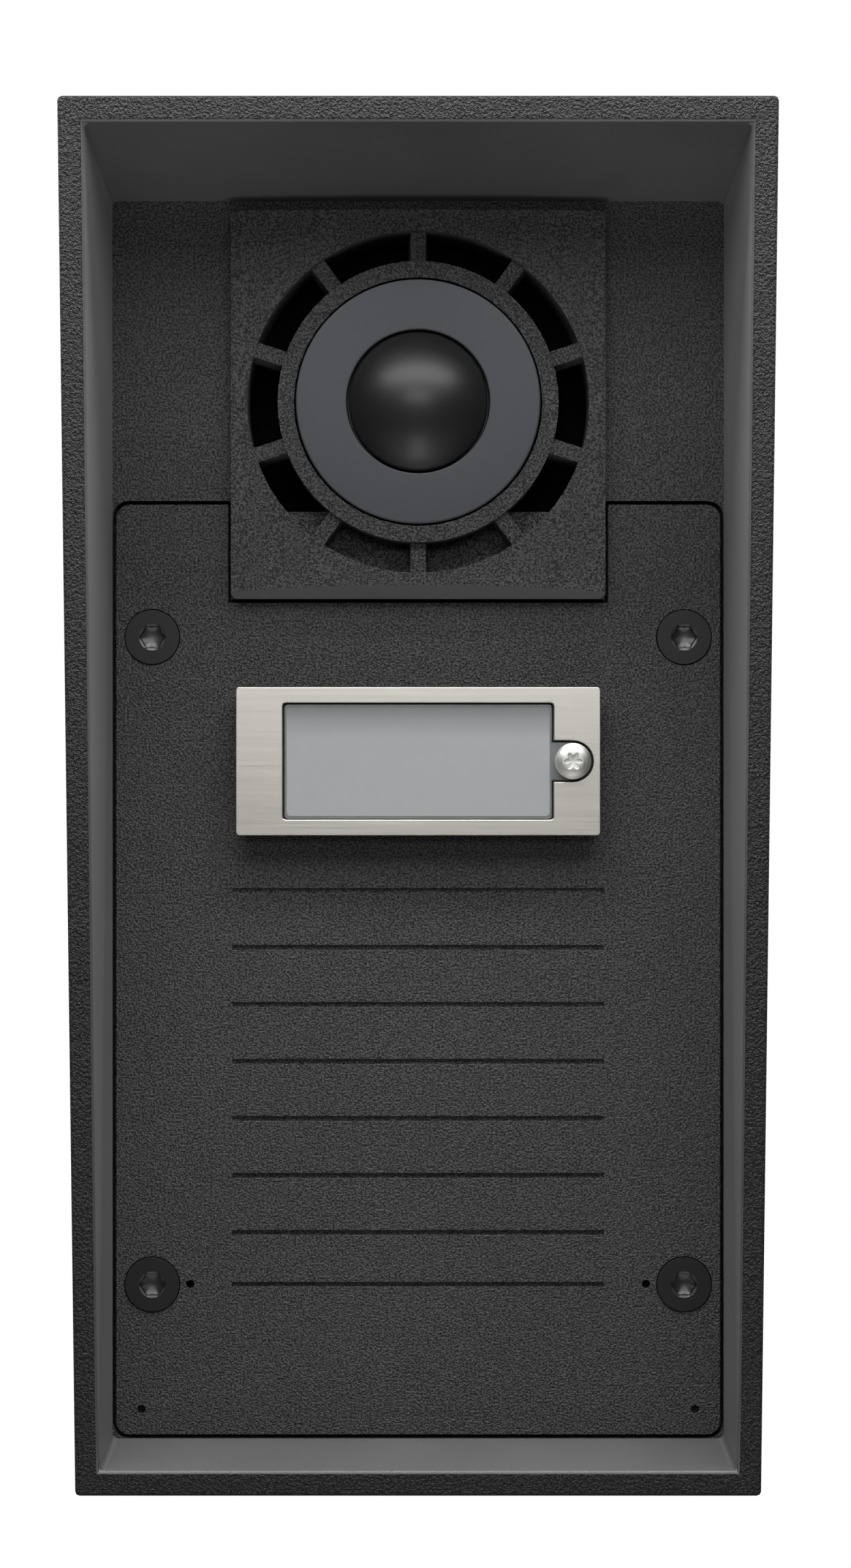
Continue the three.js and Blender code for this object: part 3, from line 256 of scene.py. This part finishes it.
def paperLabel(name, top):
    finish = Finish(name, Specular_IOR_Level=0.3)
    fibres = finish.noise(4000, 3.0, 0.6, (1, 1, 2.0))
    cloud = finish.noise(25, 2.0)
    # Painted shadow: over its top 5 mm the label blends into a dark grey, in place of the shade
    # that the plate's frame casts on it.
    height = finish.make("ShaderNodeSeparateXYZ", inputs=[finish.place], output="Z")
    paintedTopShadow = finish.make("ShaderNodeMapRange", inputs=[height, top - 5 * mm, top, 0.0, 1.0])
    tone = fibres * 0.3 + cloud * 0.7
    printed = finish.blend(tone, (0.55, 0.555, 0.565, 1), (0.59, 0.595, 0.605, 1))
    # The dark grey here is the colour of the painted shadow.
    finish.feed("Base Color", finish.blend(paintedTopShadow, printed, (0.19, 0.19, 0.195, 1)))
    finish.feed("Roughness", 0.7 + (fibres - 0.5) * 0.2)
    finish.bump(fibres, 0.000002, 0.5)
    return finish.data


# Grain scales are per metre. Heights are the bump's depth in metres.
coats = {
    # The rim keeps the coarse grain of its coat, and its tone, much darker than the deck's, is
    # painted shade.
    "rim": {
        "grainScale": 2200, "height": 0.00130,
        "color": 0.020, "roughness": 0.62, "speckle": 2.2, "sheen": 0.0,
    },
    # The bevel coat is the deck's paint with a smoother finish and a lighter tone: the smoother
    # finish is the real surface, the lighter tone is painted light on the recess walls and the
    # hood's underside.
    "bevel": {
        "grainScale": 3800, "height": 0.00002,
        "color": 0.110, "roughness": 0.38, "speckle": 0.1, "sheen": 0.16,
    },
    "deck": {
        "grainScale": 2900, "height": 0.00095,
        "color": 0.064, "roughness": 0.55, "speckle": 1.8, "sheen": 0.04,
    },
    "cover": {
        "grainScale": 2900, "height": 0.00095,
        "color": 0.064, "roughness": 0.55, "speckle": 1.8, "sheen": 0.04,
    },
    # The slot floors take a lighter copy of the deck's coat: painted light, in place of the light
    # that reaches the floors below the disc.
    "slotFloorPaintedLight": {
        "grainScale": 2900, "height": 0.00095,
        "color": 0.095, "roughness": 0.55, "speckle": 1.8, "sheen": 0.04,
    },
}
finishes = {
    "disc": moulded(
        "discPaint", (0.062, 0.064, 0.071), 0.45, grainScale=3000, height=0.000004, Metallic=0.5
    ),
    "blackScrew": moulded(
        "blackScrewSteel", (0.010, 0.010, 0.011), 0.6, grainScale=3000, height=0.000004
    ),
    "steel": brushedSteel("plateSteel", (0.76, 0.742, 0.68), 0.36),
    "nickel": moulded(
        "screwNickel", (0.90, 0.885, 0.83), 0.5, grainScale=900, height=0.000004, Metallic=1.0
    ),
    "socket": moulded(
        "socketSteel", (0.15, 0.15, 0.15), 0.46, grainScale=900, height=0.00002, Metallic=1.0
    ),
    "zinc": zincPlate("zincPlate"),
    "board": circuitBoard("circuitBoard"),
    "rubber": moulded("sealRubber", (0.010, 0.010, 0.011), 0.75, grainScale=1400, height=0.00003),
    "blackPlastic": moulded(
        "blackPlastic", (0.014, 0.014, 0.015), 0.5, grainScale=1600, height=0.00002
    ),
    "dome": smokedDome("smokedDome"),
    "window": clearWindow("clearWindow"),
    "milky": moulded("milkyPlastic", (0.62, 0.63, 0.64), 0.45, grainScale=1200, height=0.00001),
    "paper": paperLabel("labelPaper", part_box("name_label")[1].z),
    "fibre": moulded(
        "coneFibre",
        (0.0015, 0.0015, 0.0016),
        0.95,
        grainScale=1300,
        height=0.00006,
        Specular_IOR_Level=0.1,
    ),
    "lens": moulded(
        "lensGlass", (0.008, 0.012, 0.022), 0.06, grainScale=900, height=0.000001, Coat_Weight=1.0
    ),
}
for coatName, coat in coats.items():
    finishes[coatName] = powderCoat(f"{coatName}Coat", **coat)
print("materials", len(finishes))


def activate(piece):
    bpy.ops.object.select_all(action="DESELECT")
    piece.select_set(True)
    bpy.context.view_layer.objects.active = piece


def edit(piece, mode="FACE"):
    activate(piece)
    bpy.ops.object.mode_set(mode="EDIT")
    bpy.ops.mesh.select_mode(type=mode)
    bpy.ops.mesh.select_all(action="DESELECT")
    return bmesh.from_edit_mesh(piece.data)


def leaveEdit():
    bpy.ops.object.mode_set(mode="OBJECT")


def moveWhere(piece, test, move):
    mesh = edit(piece, "VERT")
    for vertex in mesh.verts:
        vertex.select_set(test(vertex.co))
    bmesh.update_edit_mesh(piece.data)
    bpy.ops.transform.translate(value=move)
    leaveEdit()


# Gives each face the material number that choose returns for its place and normal.
def paintFaces(piece, choose):
    mesh = edit(piece)
    for face in mesh.faces:
        face.material_index = choose(face.calc_center_median(), face.normal)
    bmesh.update_edit_mesh(piece.data)
    leaveEdit()


# A merged copy of a CAD node, whose flat faces are whole again.
def copyNode(nodeName, pieceName):
    piece = bpy.data.objects.new(pieceName, nodes[nodeName].data.copy())
    bpy.context.scene.collection.objects.link(piece)
    piece.data.materials.clear()
    activate(piece)
    bpy.ops.mesh.customdata_custom_splitnormals_clear()
    edit(piece)
    bpy.ops.mesh.select_all(action="SELECT")
    bpy.ops.mesh.remove_doubles(threshold=mergeDistance)
    bpy.ops.mesh.dissolve_limited(angle_limit=math.radians(0.1))
    leaveEdit()
    return piece


def bevelWhere(piece, test, width, segments=3, sharpest=20):
    mesh = edit(piece, "EDGE")
    chosen = 0
    for edge in mesh.edges:
        if len(edge.link_faces) != 2 or edge.calc_face_angle(0) < math.radians(sharpest):
            continue
        if test(edge.verts[0].co, edge.verts[1].co):
            edge.select_set(True)
            chosen += 1
    bmesh.update_edit_mesh(piece.data)
    if chosen:
        bpy.ops.mesh.bevel(offset=width, segments=segments, affect="EDGES", clamp_overlap=True)
    leaveEdit()
    print(piece.name, "edges rounded", chosen)


def shadeByAngle(piece, degrees=32):
    activate(piece)
    bpy.ops.object.shade_smooth_by_angle(angle=math.radians(degrees))
    weighted = piece.modifiers.new("weightedNormals", "WEIGHTED_NORMAL")
    weighted.keep_sharp = True
    bpy.ops.object.modifier_apply(modifier=weighted.name)


def finishPiece(piece, body, slotName, replaced, *materials):
    for name in materials:
        piece.data.materials.append(finishes[name])
    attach(piece, body)
    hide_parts(*replaced)


# A profile of (radius, depth) pairs in millimetres, drawn by extruding one point and then spun
# about the line through centre along Y. Depth is measured out of the wall.
def spinProfile(name, profile, centre, steps=96):
    bpy.ops.object.select_all(action="DESELECT")
    bpy.ops.mesh.primitive_plane_add(size=mm)
    piece = bpy.context.active_object
    piece.name = name
    points = [Vector((centre[0] + r * mm, -d * mm, centre[1])) for r, d in profile]
    edit(piece, "VERT")
    bpy.ops.mesh.select_all(action="SELECT")
    bpy.ops.mesh.merge(type="CENTER")
    bpy.ops.transform.translate(value=points[0])
    for start, end in zip(points, points[1:]):
        bpy.ops.mesh.extrude_vertices_move(TRANSFORM_OT_translate={"value": end - start})
    bpy.ops.mesh.select_all(action="SELECT")
    axle = (centre[0], 0, centre[1])
    bpy.ops.mesh.spin(steps=steps, angle=2 * math.pi, center=axle, axis=(0, 1, 0))
    bpy.ops.mesh.select_all(action="SELECT")
    bpy.ops.mesh.remove_doubles(threshold=mergeDistance)
    bpy.ops.mesh.normals_make_consistent(inside=False)
    leaveEdit()
    return piece


lobeCore = 0.3  # millimetres round the middle that stay as they are


# Draws a round recess in between its lobes, by scaling the points of equal angle together.
def pressLobes(piece, centre, radius, deepest, lobes, share):
    steps = {}
    mesh = edit(piece, "VERT")
    for vertex in mesh.verts:
        across, up = vertex.co.x - centre[0], vertex.co.z - centre[1]
        away = math.hypot(across, up)
        if lobeCore * mm < away < radius * mm and -vertex.co.y > deepest * mm:
            wave = (1 - math.cos(lobes * math.atan2(up, across))) / 2
            steps.setdefault(round(wave, 3), []).append(vertex.index)
    for wave, members in steps.items():
        mesh = bmesh.from_edit_mesh(piece.data)
        mesh.verts.ensure_lookup_table()
        for vertex in mesh.verts:
            vertex.select = False
        for index in members:
            mesh.verts[index].select = True
        bmesh.update_edit_mesh(piece.data)
        scale = 1 - share * wave
        bpy.ops.transform.resize(value=(scale, 1, scale), center_override=(centre[0], 0, centre[1]))
    leaveEdit()


def middle(node):
    low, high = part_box(node)
    return (low + high) / 2


def depthOf(node):
    low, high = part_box(node)
    return -high.y / mm, -low.y / mm


# Housing

housing = {
    "edge": 0.6 * mm,
    "recessEdge": 0.9 * mm,
    "blockEdge": 0.65 * mm,
    "slotEdge": 0.22 * mm,
    "spokeCorner": 0.5 * mm,
    "spokeEdge": 0.25 * mm,
    "blockHalf": 30 * mm,
    "blockLow": 34.4 * mm,
    "blockHigh": 96.5 * mm,
    "blockCrown": 1.2 * mm,  # how far the block's edge may lie inside its outline
    "chamferTop": 2.9 * mm,  # above the block's foot
    "discBore": 19.9 * mm,
    "slotInner": 22.5 * mm,
    "slotOuter": 27.4 * mm,
    "floorBand": (47.5 * mm, 50 * mm),  # depths are measured out of the wall
    "spokeFront": 53.4 * mm,
    "lowFront": 58 * mm,
    "wallHeight": 5 * mm,  # a side wall reaches at least this far past the deck
    "rimWidth": 3 * mm,
    "recessHalf": 48.5 * mm,
    "recessTop": 98 * mm,
    "recessFoot": 100 * mm,
    "slack": 0.05 * mm,
}
ringCentre = middle("trim_disc")
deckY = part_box("front_cover")[0].y
rimSlope = (cadLow.y + housing["lowFront"]) / (cadHigh.z - cadLow.z)


def rimY(z):
    return (z - cadLow.z) * rimSlope - housing["lowFront"]


def onRim(point):
    return abs(point.y - rimY(point.z)) < housing["slack"]


def ringRadius(point):
    return math.hypot(point.x - ringCentre.x, point.z - ringCentre.z)


def rimEdge(a, b):
    return onRim(a) and onRim(b)


def recessCorner(a, b):
    inner = cadHigh.x - housing["rimWidth"]
    inFront = min(a.y, b.y) < deckY - housing["wallHeight"] and max(a.y, b.y) > deckY - 0.1 * mm
    return inFront and abs(a.x) < inner and abs(b.x) < inner


def blockRim(a, b):
    half, low, high = housing["blockHalf"], housing["blockLow"], housing["blockHigh"]
    slack, crown = housing["slack"], housing["blockCrown"]
    for point in (a, b):
        if point.y > deckY - 1 * mm or abs(point.x) > half + slack:
            return False
        if not low + 0.5 * mm < point.z < high + slack:
            return False
    onTop = min(a.z, b.z) > high - crown
    onSide = min(abs(a.x), abs(b.x)) > half - crown and a.x * b.x > 0
    return onTop or onSide


def slotMouth(a, b):
    for radius in (housing["slotInner"], housing["slotOuter"], housing["discBore"]):
        near = abs(ringRadius(a) - radius) < 0.12 * mm and abs(ringRadius(b) - radius) < 0.12 * mm
        if near and max(a.y, b.y) < deckY - 2.2 * mm:
            return True
    return False


def spokeEnd(a, b):
    side = abs(a.x - b.x) < 0.3 * mm and abs(a.z - b.z) < 0.3 * mm and abs(a.y - b.y) > 2 * mm
    away = ringRadius((a + b) / 2)
    ends = (housing["slotInner"], housing["slotOuter"])
    return side and any(abs(away - radius) < 0.2 * mm for radius in ends)


def spokeFront(a, b):
    front, slack = housing["spokeFront"], housing["slack"]
    level = abs(a.y + front) < slack and abs(b.y + front) < slack
    away = ringRadius((a + b) / 2)
    between = housing["slotInner"] - 0.3 * mm < away < housing["slotOuter"] + 0.3 * mm
    return level and between and (a - b).length > 2.5 * mm


# Chooses the slot-floor faces that get the lighter coat, which is painted light.
def slotFloorFace(place, normal):
    shallow, deep = housing["floorBand"]
    between = housing["slotInner"] - 0.1 * mm < ringRadius(place) < housing["slotOuter"] + 0.1 * mm
    return normal.y < -0.5 and between and shallow < -place.y < deep


# The block's lower chamfer takes the lighter bevel coat: a painted highlight for the bright
# crescent along the block's foot.
def chamferFace(place, normal):
    foot = housing["blockLow"]
    level = foot - housing["slack"] < place.z < foot + housing["chamferTop"]
    proud = place.y < deckY - 0.3 * mm and abs(place.x) < housing["blockHalf"]
    return level and proud and normal.z < -0.3


def bevelFace(place):
    beside = abs(place.x) > housing["recessHalf"]
    beyond = not -housing["recessFoot"] < place.z < housing["recessTop"]
    return place.y < deckY - 0.5 * mm and (beside or beyond)


def rimFace(place):
    outside = abs(place.x) > cadHigh.x - 1.5 * mm or abs(place.z) > cadHigh.z - 1.5 * mm
    return onRim(place) or outside


# Picks each face's coat: 1 is the rim's darker copy (painted shade), 2 the lighter bevel copy
# (painted light) and 3 the lighter slot floors (painted light).
def housingFinish(place, normal):
    if rimFace(place):
        return 1
    if bevelFace(place) or chamferFace(place, normal):
        return 2
    return 3 if slotFloorFace(place, normal) else 0


def buildHousing():
    piece = copyNode("housing_casting", "housingShell")
    bevelWhere(piece, rimEdge, housing["edge"])
    bevelWhere(piece, recessCorner, housing["recessEdge"], 4)
    bevelWhere(piece, blockRim, housing["blockEdge"], 4)
    bevelWhere(piece, slotMouth, housing["slotEdge"], 2)
    bevelWhere(piece, spokeEnd, housing["spokeCorner"], 2, 60)
    bevelWhere(piece, spokeFront, housing["spokeEdge"], 2, 40)
    shadeByAngle(piece)
    coatNames = ("deck", "rim", "bevel", "slotFloorPaintedLight")  # in the order of housingFinish's numbers
    finishPiece(piece, "housing", "housing_paint", ["housing_casting"], *coatNames)
    paintFaces(piece, housingFinish)


buildHousing()
print("housing")


# Front cover

cover = {
    "gap": 0.15 * mm,  # taken off each side
    "grooveEdge": 0.12 * mm,
    "border": 1.4 * mm,  # holds the outline and its corners
    "sideDepth": 0.9 * mm,
}


def buildCover():
    piece = copyNode("front_cover", "coverPlate")
    low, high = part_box("front_cover")
    gap, border, side = cover["gap"], cover["border"], cover["sideDepth"]

    def faceEdge(a, b):
        return abs(a.y - deckY) < 0.02 * mm and abs(b.y - deckY) < 0.02 * mm

    # The cover's outer side walls take the black rubber finish: painted shade that keeps the gap
    # round the cover dark.
    def coverFinish(place, normal):
        outside = abs(place.x) > high.x - side or place.z > high.z - side or place.z < low.z + side
        return 1 if outside and abs(normal.y) < 0.3 else 0

    moveWhere(piece, lambda point: point.x < border - high.x, (gap, 0, 0))
    moveWhere(piece, lambda point: point.x > high.x - border, (-gap, 0, 0))
    moveWhere(piece, lambda point: point.z < low.z + border, (0, 0, gap))
    moveWhere(piece, lambda point: point.z > high.z - border, (0, 0, -gap))
    bevelWhere(piece, faceEdge, cover["grooveEdge"], 2, 60)
    shadeByAngle(piece)
    finishPiece(piece, "cover", "housing_paint", ["front_cover"], "cover", "rubber")
    paintFaces(piece, coverFinish)


buildCover()
print("cover")


# Trim disc and dome, in millimetres

disc = {"bore": 11.4, "rebate": 13.8, "step": 1.3, "soft": 0.35}


def buildDisc():
    back, front = depthOf("trim_disc")
    low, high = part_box("trim_disc")
    outer = (high.x - low.x) / 2 / mm
    bore, rebate, soft = disc["bore"], disc["rebate"], disc["soft"]
    step = back + disc["step"]
    near = soft * 0.3
    profile = [
        (bore, step),
        (rebate, step),
        (rebate, back),
        (outer, back),
        (outer, front - soft),
        (outer - near, front - near),
        (outer - soft, front),
        (bore + soft, front),
        (bore + near, front - near),
        (bore, front - soft),
        (bore, step),
    ]
    piece = spinProfile("discRing", profile, (ringCentre.x, ringCentre.z), 128)
    shadeByAngle(piece, 40)
    finishPiece(piece, "housing", "disc_paint", ["trim_disc"], "disc")


dome = {"radius": 11.1, "wall": 1.2, "foot": 1, "lift": 0.3, "outerSteps": 24, "innerSteps": 16}


def capPoints(radius, rise, edgeDepth, steps):
    sphere = (radius * radius + rise * rise) / (2 * rise)
    widest = math.asin(radius / sphere)
    points = []
    for index in range(steps + 1):
        angle = widest * (1 - index / steps)
        depth = edgeDepth + sphere * math.cos(angle) - sphere + rise
        points.append((sphere * math.sin(angle), depth))
    points[-1] = (0, edgeDepth + rise)
    return points


def buildDome():
    back, front = depthOf("dome_cover")
    low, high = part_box("dome_cover")
    discFront = depthOf("trim_disc")[1]
    radius, wall, lift = dome["radius"], dome["wall"], dome["lift"]
    rise = front - discFront
    flange = (high.x - low.x) / 2 / mm
    foot = back + dome["foot"]
    outerCap = capPoints(radius, rise, discFront, dome["outerSteps"])
    innerCap = capPoints(radius - wall, rise - wall + lift, discFront - lift, dome["innerSteps"])
    skirt = [(radius, foot), (flange, foot), (flange, back), (radius - wall, back)]
    profile = outerCap[::-1] + skirt + innerCap
    piece = spinProfile("domeShell", profile, (ringCentre.x, ringCentre.z), 96)
    shadeByAngle(piece, 40)
    finishPiece(piece, "housing", "smoked_plastic", ["dome_cover"], "dome")


buildDisc()
buildDome()
print("disc and dome")


# Cover screws, in millimetres

coverScrew = {
    "headRadius": 4.36,
    "headThickness": 1.6,
    "shank": 1.9,
    "socketRadius": 2.0,
    "socketDepth": 1.2,
    "lobes": 6,
    "lobeShare": 0.12,
}


def buildCoverScrew():
    back, front = depthOf("cover_screw_1")
    centre = middle("cover_screw_1")
    place = (centre.x, centre.z)
    head, shank = coverScrew["headRadius"], coverScrew["shank"]
    socket = coverScrew["socketRadius"]
    seat = front - coverScrew["headThickness"]
    floor = front - coverScrew["socketDepth"]
    mouth = socket + 0.05
    profile = [(0, back), (shank - 0.4, back), (shank, back + 0.4), (shank, seat), (head, seat)]
    profile += [(head, front - 0.12), (head - 0.03, front - 0.03), (head - 0.12, front)]
    profile += [(socket + 0.25, front), (socket + 0.12, front - 0.03), (socket, front - 0.15)]
    profile += [(socket - 0.1, floor + 0.2), (socket - 0.3, floor), (socket * 0.45, floor - 0.2)]
    profile += [(0, floor - 0.45)]
    piece = spinProfile("coverScrew1", profile, place, 72)
    lobes, share = coverScrew["lobes"], coverScrew["lobeShare"]
    pressLobes(piece, place, mouth, floor - 0.1, lobes, share)
    shadeByAngle(piece, 35)

    def screwFinish(place, normal):
        away = math.hypot(place.x - centre.x, place.z - centre.z)
        return 1 if away < mouth * mm and -place.y > (floor - 0.6) * mm else 0

    finishPiece(piece, "cover", "black_screw", ["cover_screw_1"], "blackScrew", "socket")
    paintFaces(piece, screwFinish)
    return piece


# The other three are copies of the first, each with its own mesh.
def copyCoverScrew(first, number):
    node = f"cover_screw_{number}"
    piece = bpy.data.objects.new(f"coverScrew{number}", first.data.copy())
    bpy.context.scene.collection.objects.link(piece)
    piece.data.transform(Matrix.Translation(middle(node) - middle("cover_screw_1")))
    finishPiece(piece, "cover", "black_screw", [node])


firstScrew = buildCoverScrew()
for number in (2, 3, 4):
    copyCoverScrew(firstScrew, number)
print("cover screws")


# Name-plate button

namePlate = {"edge": 0.3 * mm}
window = {"edge": 0.15 * mm, "foot": 0.5 * mm, "drop": 0.2 * mm}
labelScrew = {  # in millimetres
    "headRadius": 2.9,
    "headThickness": 1.5,
    "shank": 1.1,
    "recessRadius": 1.45,
    "recessDepth": 0.3,
    "lobes": 6,
    "lobeShare": 0.36,
}


def frontEdge(node):
    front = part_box(node)[0].y
    return lambda a, b: abs(a.y - front) < 0.02 * mm and abs(b.y - front) < 0.02 * mm


def buildNamePlate():
    piece = copyNode("name_plate", "namePlateFrame")
    bevelWhere(piece, frontEdge("name_plate"), namePlate["edge"], 3, 60)
    shadeByAngle(piece)
    finishPiece(piece, "button", "brushed_steel", ["name_plate"], "steel")


def buildWindow():
    piece = copyNode("label_window", "windowPane")
    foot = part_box("label_window")[0].z + window["foot"]
    moveWhere(piece, lambda point: point.z < foot, (0, 0, -window["drop"]))
    bevelWhere(piece, frontEdge("label_window"), window["edge"], 2, 60)
    shadeByAngle(piece)
    finishPiece(piece, "button", "clear_plastic", ["label_window"], "window")


def buildLabelScrew():
    back, front = depthOf("label_screw")
    centre = middle("label_screw")
    place = (centre.x, centre.z)
    head, shank = labelScrew["headRadius"], labelScrew["shank"]
    recess = labelScrew["recessRadius"]
    seat = front - labelScrew["headThickness"]
    floor = front - labelScrew["recessDepth"]
    profile = [(0, back), (shank - 0.3, back), (shank, back + 0.3), (shank, seat)]
    profile += [(head - 0.1, seat), (head, seat + 0.1)]
    profile += [(head, seat + 0.45), (head - 0.05, seat + 0.65), (head - 0.25, seat + 0.95)]
    profile += [(head - 0.6, seat + 1.2), (head - 1.1, front - 0.1), (recess + 0.15, front)]
    profile += [(recess, front - 0.03), (recess - 0.12, floor)]
    profile += [(0.6, floor - 0.05), (0, floor - 0.08)]
    piece = spinProfile("labelScrewHead", profile, place, 72)
    lobes, share = labelScrew["lobes"], labelScrew["lobeShare"]
    pressLobes(piece, place, recess + 0.05, floor - 0.1, lobes, share)
    shadeByAngle(piece, 45)
    finishPiece(piece, "button", "brushed_steel", ["label_screw"], "nickel")


# Each return spring is a merged copy of its CAD node that rides with the button as one piece.
def buildReturnSpring(side):
    node = f"return_spring_{side}"
    piece = copyNode(node, f"returnSpring{side.capitalize()}")
    shadeByAngle(piece, 60)
    finishPiece(piece, "button", "zinc_steel", [node], "zinc")
    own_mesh(piece)


buildNamePlate()
buildWindow()
buildLabelScrew()
for springSide in ("left", "right"):
    buildReturnSpring(springSide)
print("button")


# CAD nodes that keep their shape get their material here.
kept = {
    "zinc": [
        "back_plate",
        "speaker_magnet",
        "speaker_screw",
        "heat_sink",
        "network_jack",
        "microphone",
        "return_spring",
        "main_board_screw",
        "button_board_screw",
    ],
    "rubber": [
        "back_gasket",
        "cable_grommet",
        "cover_gasket",
        "speaker_gasket",
        "speaker_surround",
        "dome_seal",
        "button_seal",
        "microphone_boot",
    ],
    "blackPlastic": [
        "speaker_basket",
        "camera_cup",
        "lens_barrel",
        "processor",
        "relay",
        "switch_body",
        "button_carrier",
    ],
    "fibre": ["acoustic_mesh", "speaker_cone"],
    "board": ["camera_board", "main_board", "button_board"],
    "milky": ["terminal_block", "switch_plunger", "backlight"],
    "paper": ["name_label"],
    "lens": ["front_lens"],
}


def dressNodes():
    for nodeName, node in nodes.items():
        best = ("", "rubber")
        for finishName, starts in kept.items():
            for start in starts:
                if nodeName.startswith(start) and len(start) > len(best[0]):
                    best = (start, finishName)
        node.data.materials.clear()
        node.data.materials.append(finishes[best[1]])


dressNodes()
print("nodes dressed")


# Camera, light and floor

camera = {
    "distance": 0.558,
    "height": 0.0028,
    "lens": 72.3,
    "sensor": 36,
    "nearest": 0.01,
    "shift": (0.0047, 0.0074),
}


def makeCamera():
    data = bpy.data.cameras.new("frontCamera")
    data.sensor_width = camera["sensor"]
    data.lens = camera["lens"]
    data.shift_x, data.shift_y = camera["shift"]
    data.clip_start = camera["nearest"]
    holder = bpy.data.objects.new("frontCamera", data)
    holder.location = (0, -camera["distance"], camera["height"])
    holder.rotation_euler = (math.pi / 2, 0, 0)
    bpy.context.scene.collection.objects.link(holder)
    bpy.context.scene.camera = holder


def aimLight(data, place, target, power):
    data.energy = power
    holder = bpy.data.objects.new(data.name, data)
    holder.location = place
    direction = Vector(target) - Vector(place)
    holder.rotation_euler = direction.to_track_quat("-Z", "Y").to_euler()
    bpy.context.scene.collection.objects.link(holder)


def makeLight(name, place, target, size, power):
    data = bpy.data.lights.new(name, "AREA")
    data.shape = "RECTANGLE"
    data.size, data.size_y = size
    aimLight(data, place, target, power)


def makeSpot(name, place, target, cone, softness, power):
    data = bpy.data.lights.new(name, "SPOT")
    data.spot_size = math.radians(cone)
    data.spot_blend = 1.0
    data.shadow_soft_size = softness
    aimLight(data, place, target, power)


studio = {
    "fill": 0.02,  # the light that the surroundings give
    "backdrop": 1.0,  # how bright they look behind the panel
    "floorRadius": 1.1,
    "floorHeight": -0.42,
    "floorLift": 0.6,
}


def makeWorld():
    world = bpy.data.worlds.new("studio")
    world.use_nodes = True
    tree = world.node_tree
    tree.nodes.clear()
    output = tree.nodes.new("ShaderNodeOutputWorld")
    mix = tree.nodes.new("ShaderNodeMixShader")
    path = tree.nodes.new("ShaderNodeLightPath")
    tree.links.new(path.outputs["Is Camera Ray"], mix.inputs[0])
    for socket, strength in ((1, studio["fill"]), (2, studio["backdrop"])):
        background = tree.nodes.new("ShaderNodeBackground")
        background.inputs["Color"].default_value = (1, 1, 1, 1)
        background.inputs["Strength"].default_value = strength
        tree.links.new(background.outputs[0], mix.inputs[socket])
    tree.links.new(mix.outputs[0], output.inputs[0])
    bpy.context.scene.world = world


def makeFloor():
    bpy.ops.object.select_all(action="DESELECT")
    bpy.ops.mesh.primitive_circle_add(
        vertices=96,
        radius=studio["floorRadius"],
        fill_type="NGON",
        location=(0, 0, studio["floorHeight"]),
    )
    floor = bpy.context.active_object
    floor.name = "floor"
    finish = Finish("paleFloor")
    cloud = finish.noise(6, 3.0)
    finish.feed("Base Color", finish.blend(cloud, (0.78, 0.78, 0.78, 1), (0.84, 0.84, 0.84, 1)))
    finish.feed("Roughness", 0.6 + cloud * 0.2)
    finish.glow(studio["floorLift"])
    floor.data.materials.append(finish.data)


makeCamera()
makeWorld()
makeFloor()
lights = {  # place, target, size and power
    "topNear": ((0, -0.14, 0.30), (0, -0.06, -0.1), (0.5, 0.06), 1.50),
    "topFront": ((0, -0.22, 0.24), (0, -0.05, -0.1), (0.5, 0.06), 0.38),
    "topMiddle": ((0, -0.25, 0.20), (0, -0.05, 0), (0.4, 0.05), 0.27),
    "frontAbove": ((0, -0.5, 0.14), (0, -0.05, 0), (0.3, 0.06), 0.19),
    "frontSmall": ((0, -0.9, 0.20), (0, -0.05, 0), (0.4, 0.10), 0.42),
}
spots = {  # place, target, cone, softness and power
    "hoodLeft": ((0.02, -0.20, -0.30), (-0.037, -0.068, 0.100), 9, 0.03, 1.6),
    "hoodRight": ((-0.02, -0.20, -0.30), (0.037, -0.068, 0.100), 9, 0.03, 1.6),
    "lowBlock": ((0, -0.33, -0.33), (0, -0.056, 0.05), 16, 0.09, 1.5),
    "backLeft": ((-0.6, 0.6, 0.35), (0, 0.02, 0), 36, 0.15, 24),
    "backRight": ((0.6, 0.6, 0.35), (0, 0.02, 0), 36, 0.15, 24),
}
for lightName, (place, target, size, power) in lights.items():
    makeLight(lightName, place, target, size, power)
for lightName, (place, target, cone, softness, power) in spots.items():
    makeSpot(lightName, place, target, cone, softness, power)
bpy.context.scene.view_settings.view_transform = "Standard"
print("studio")
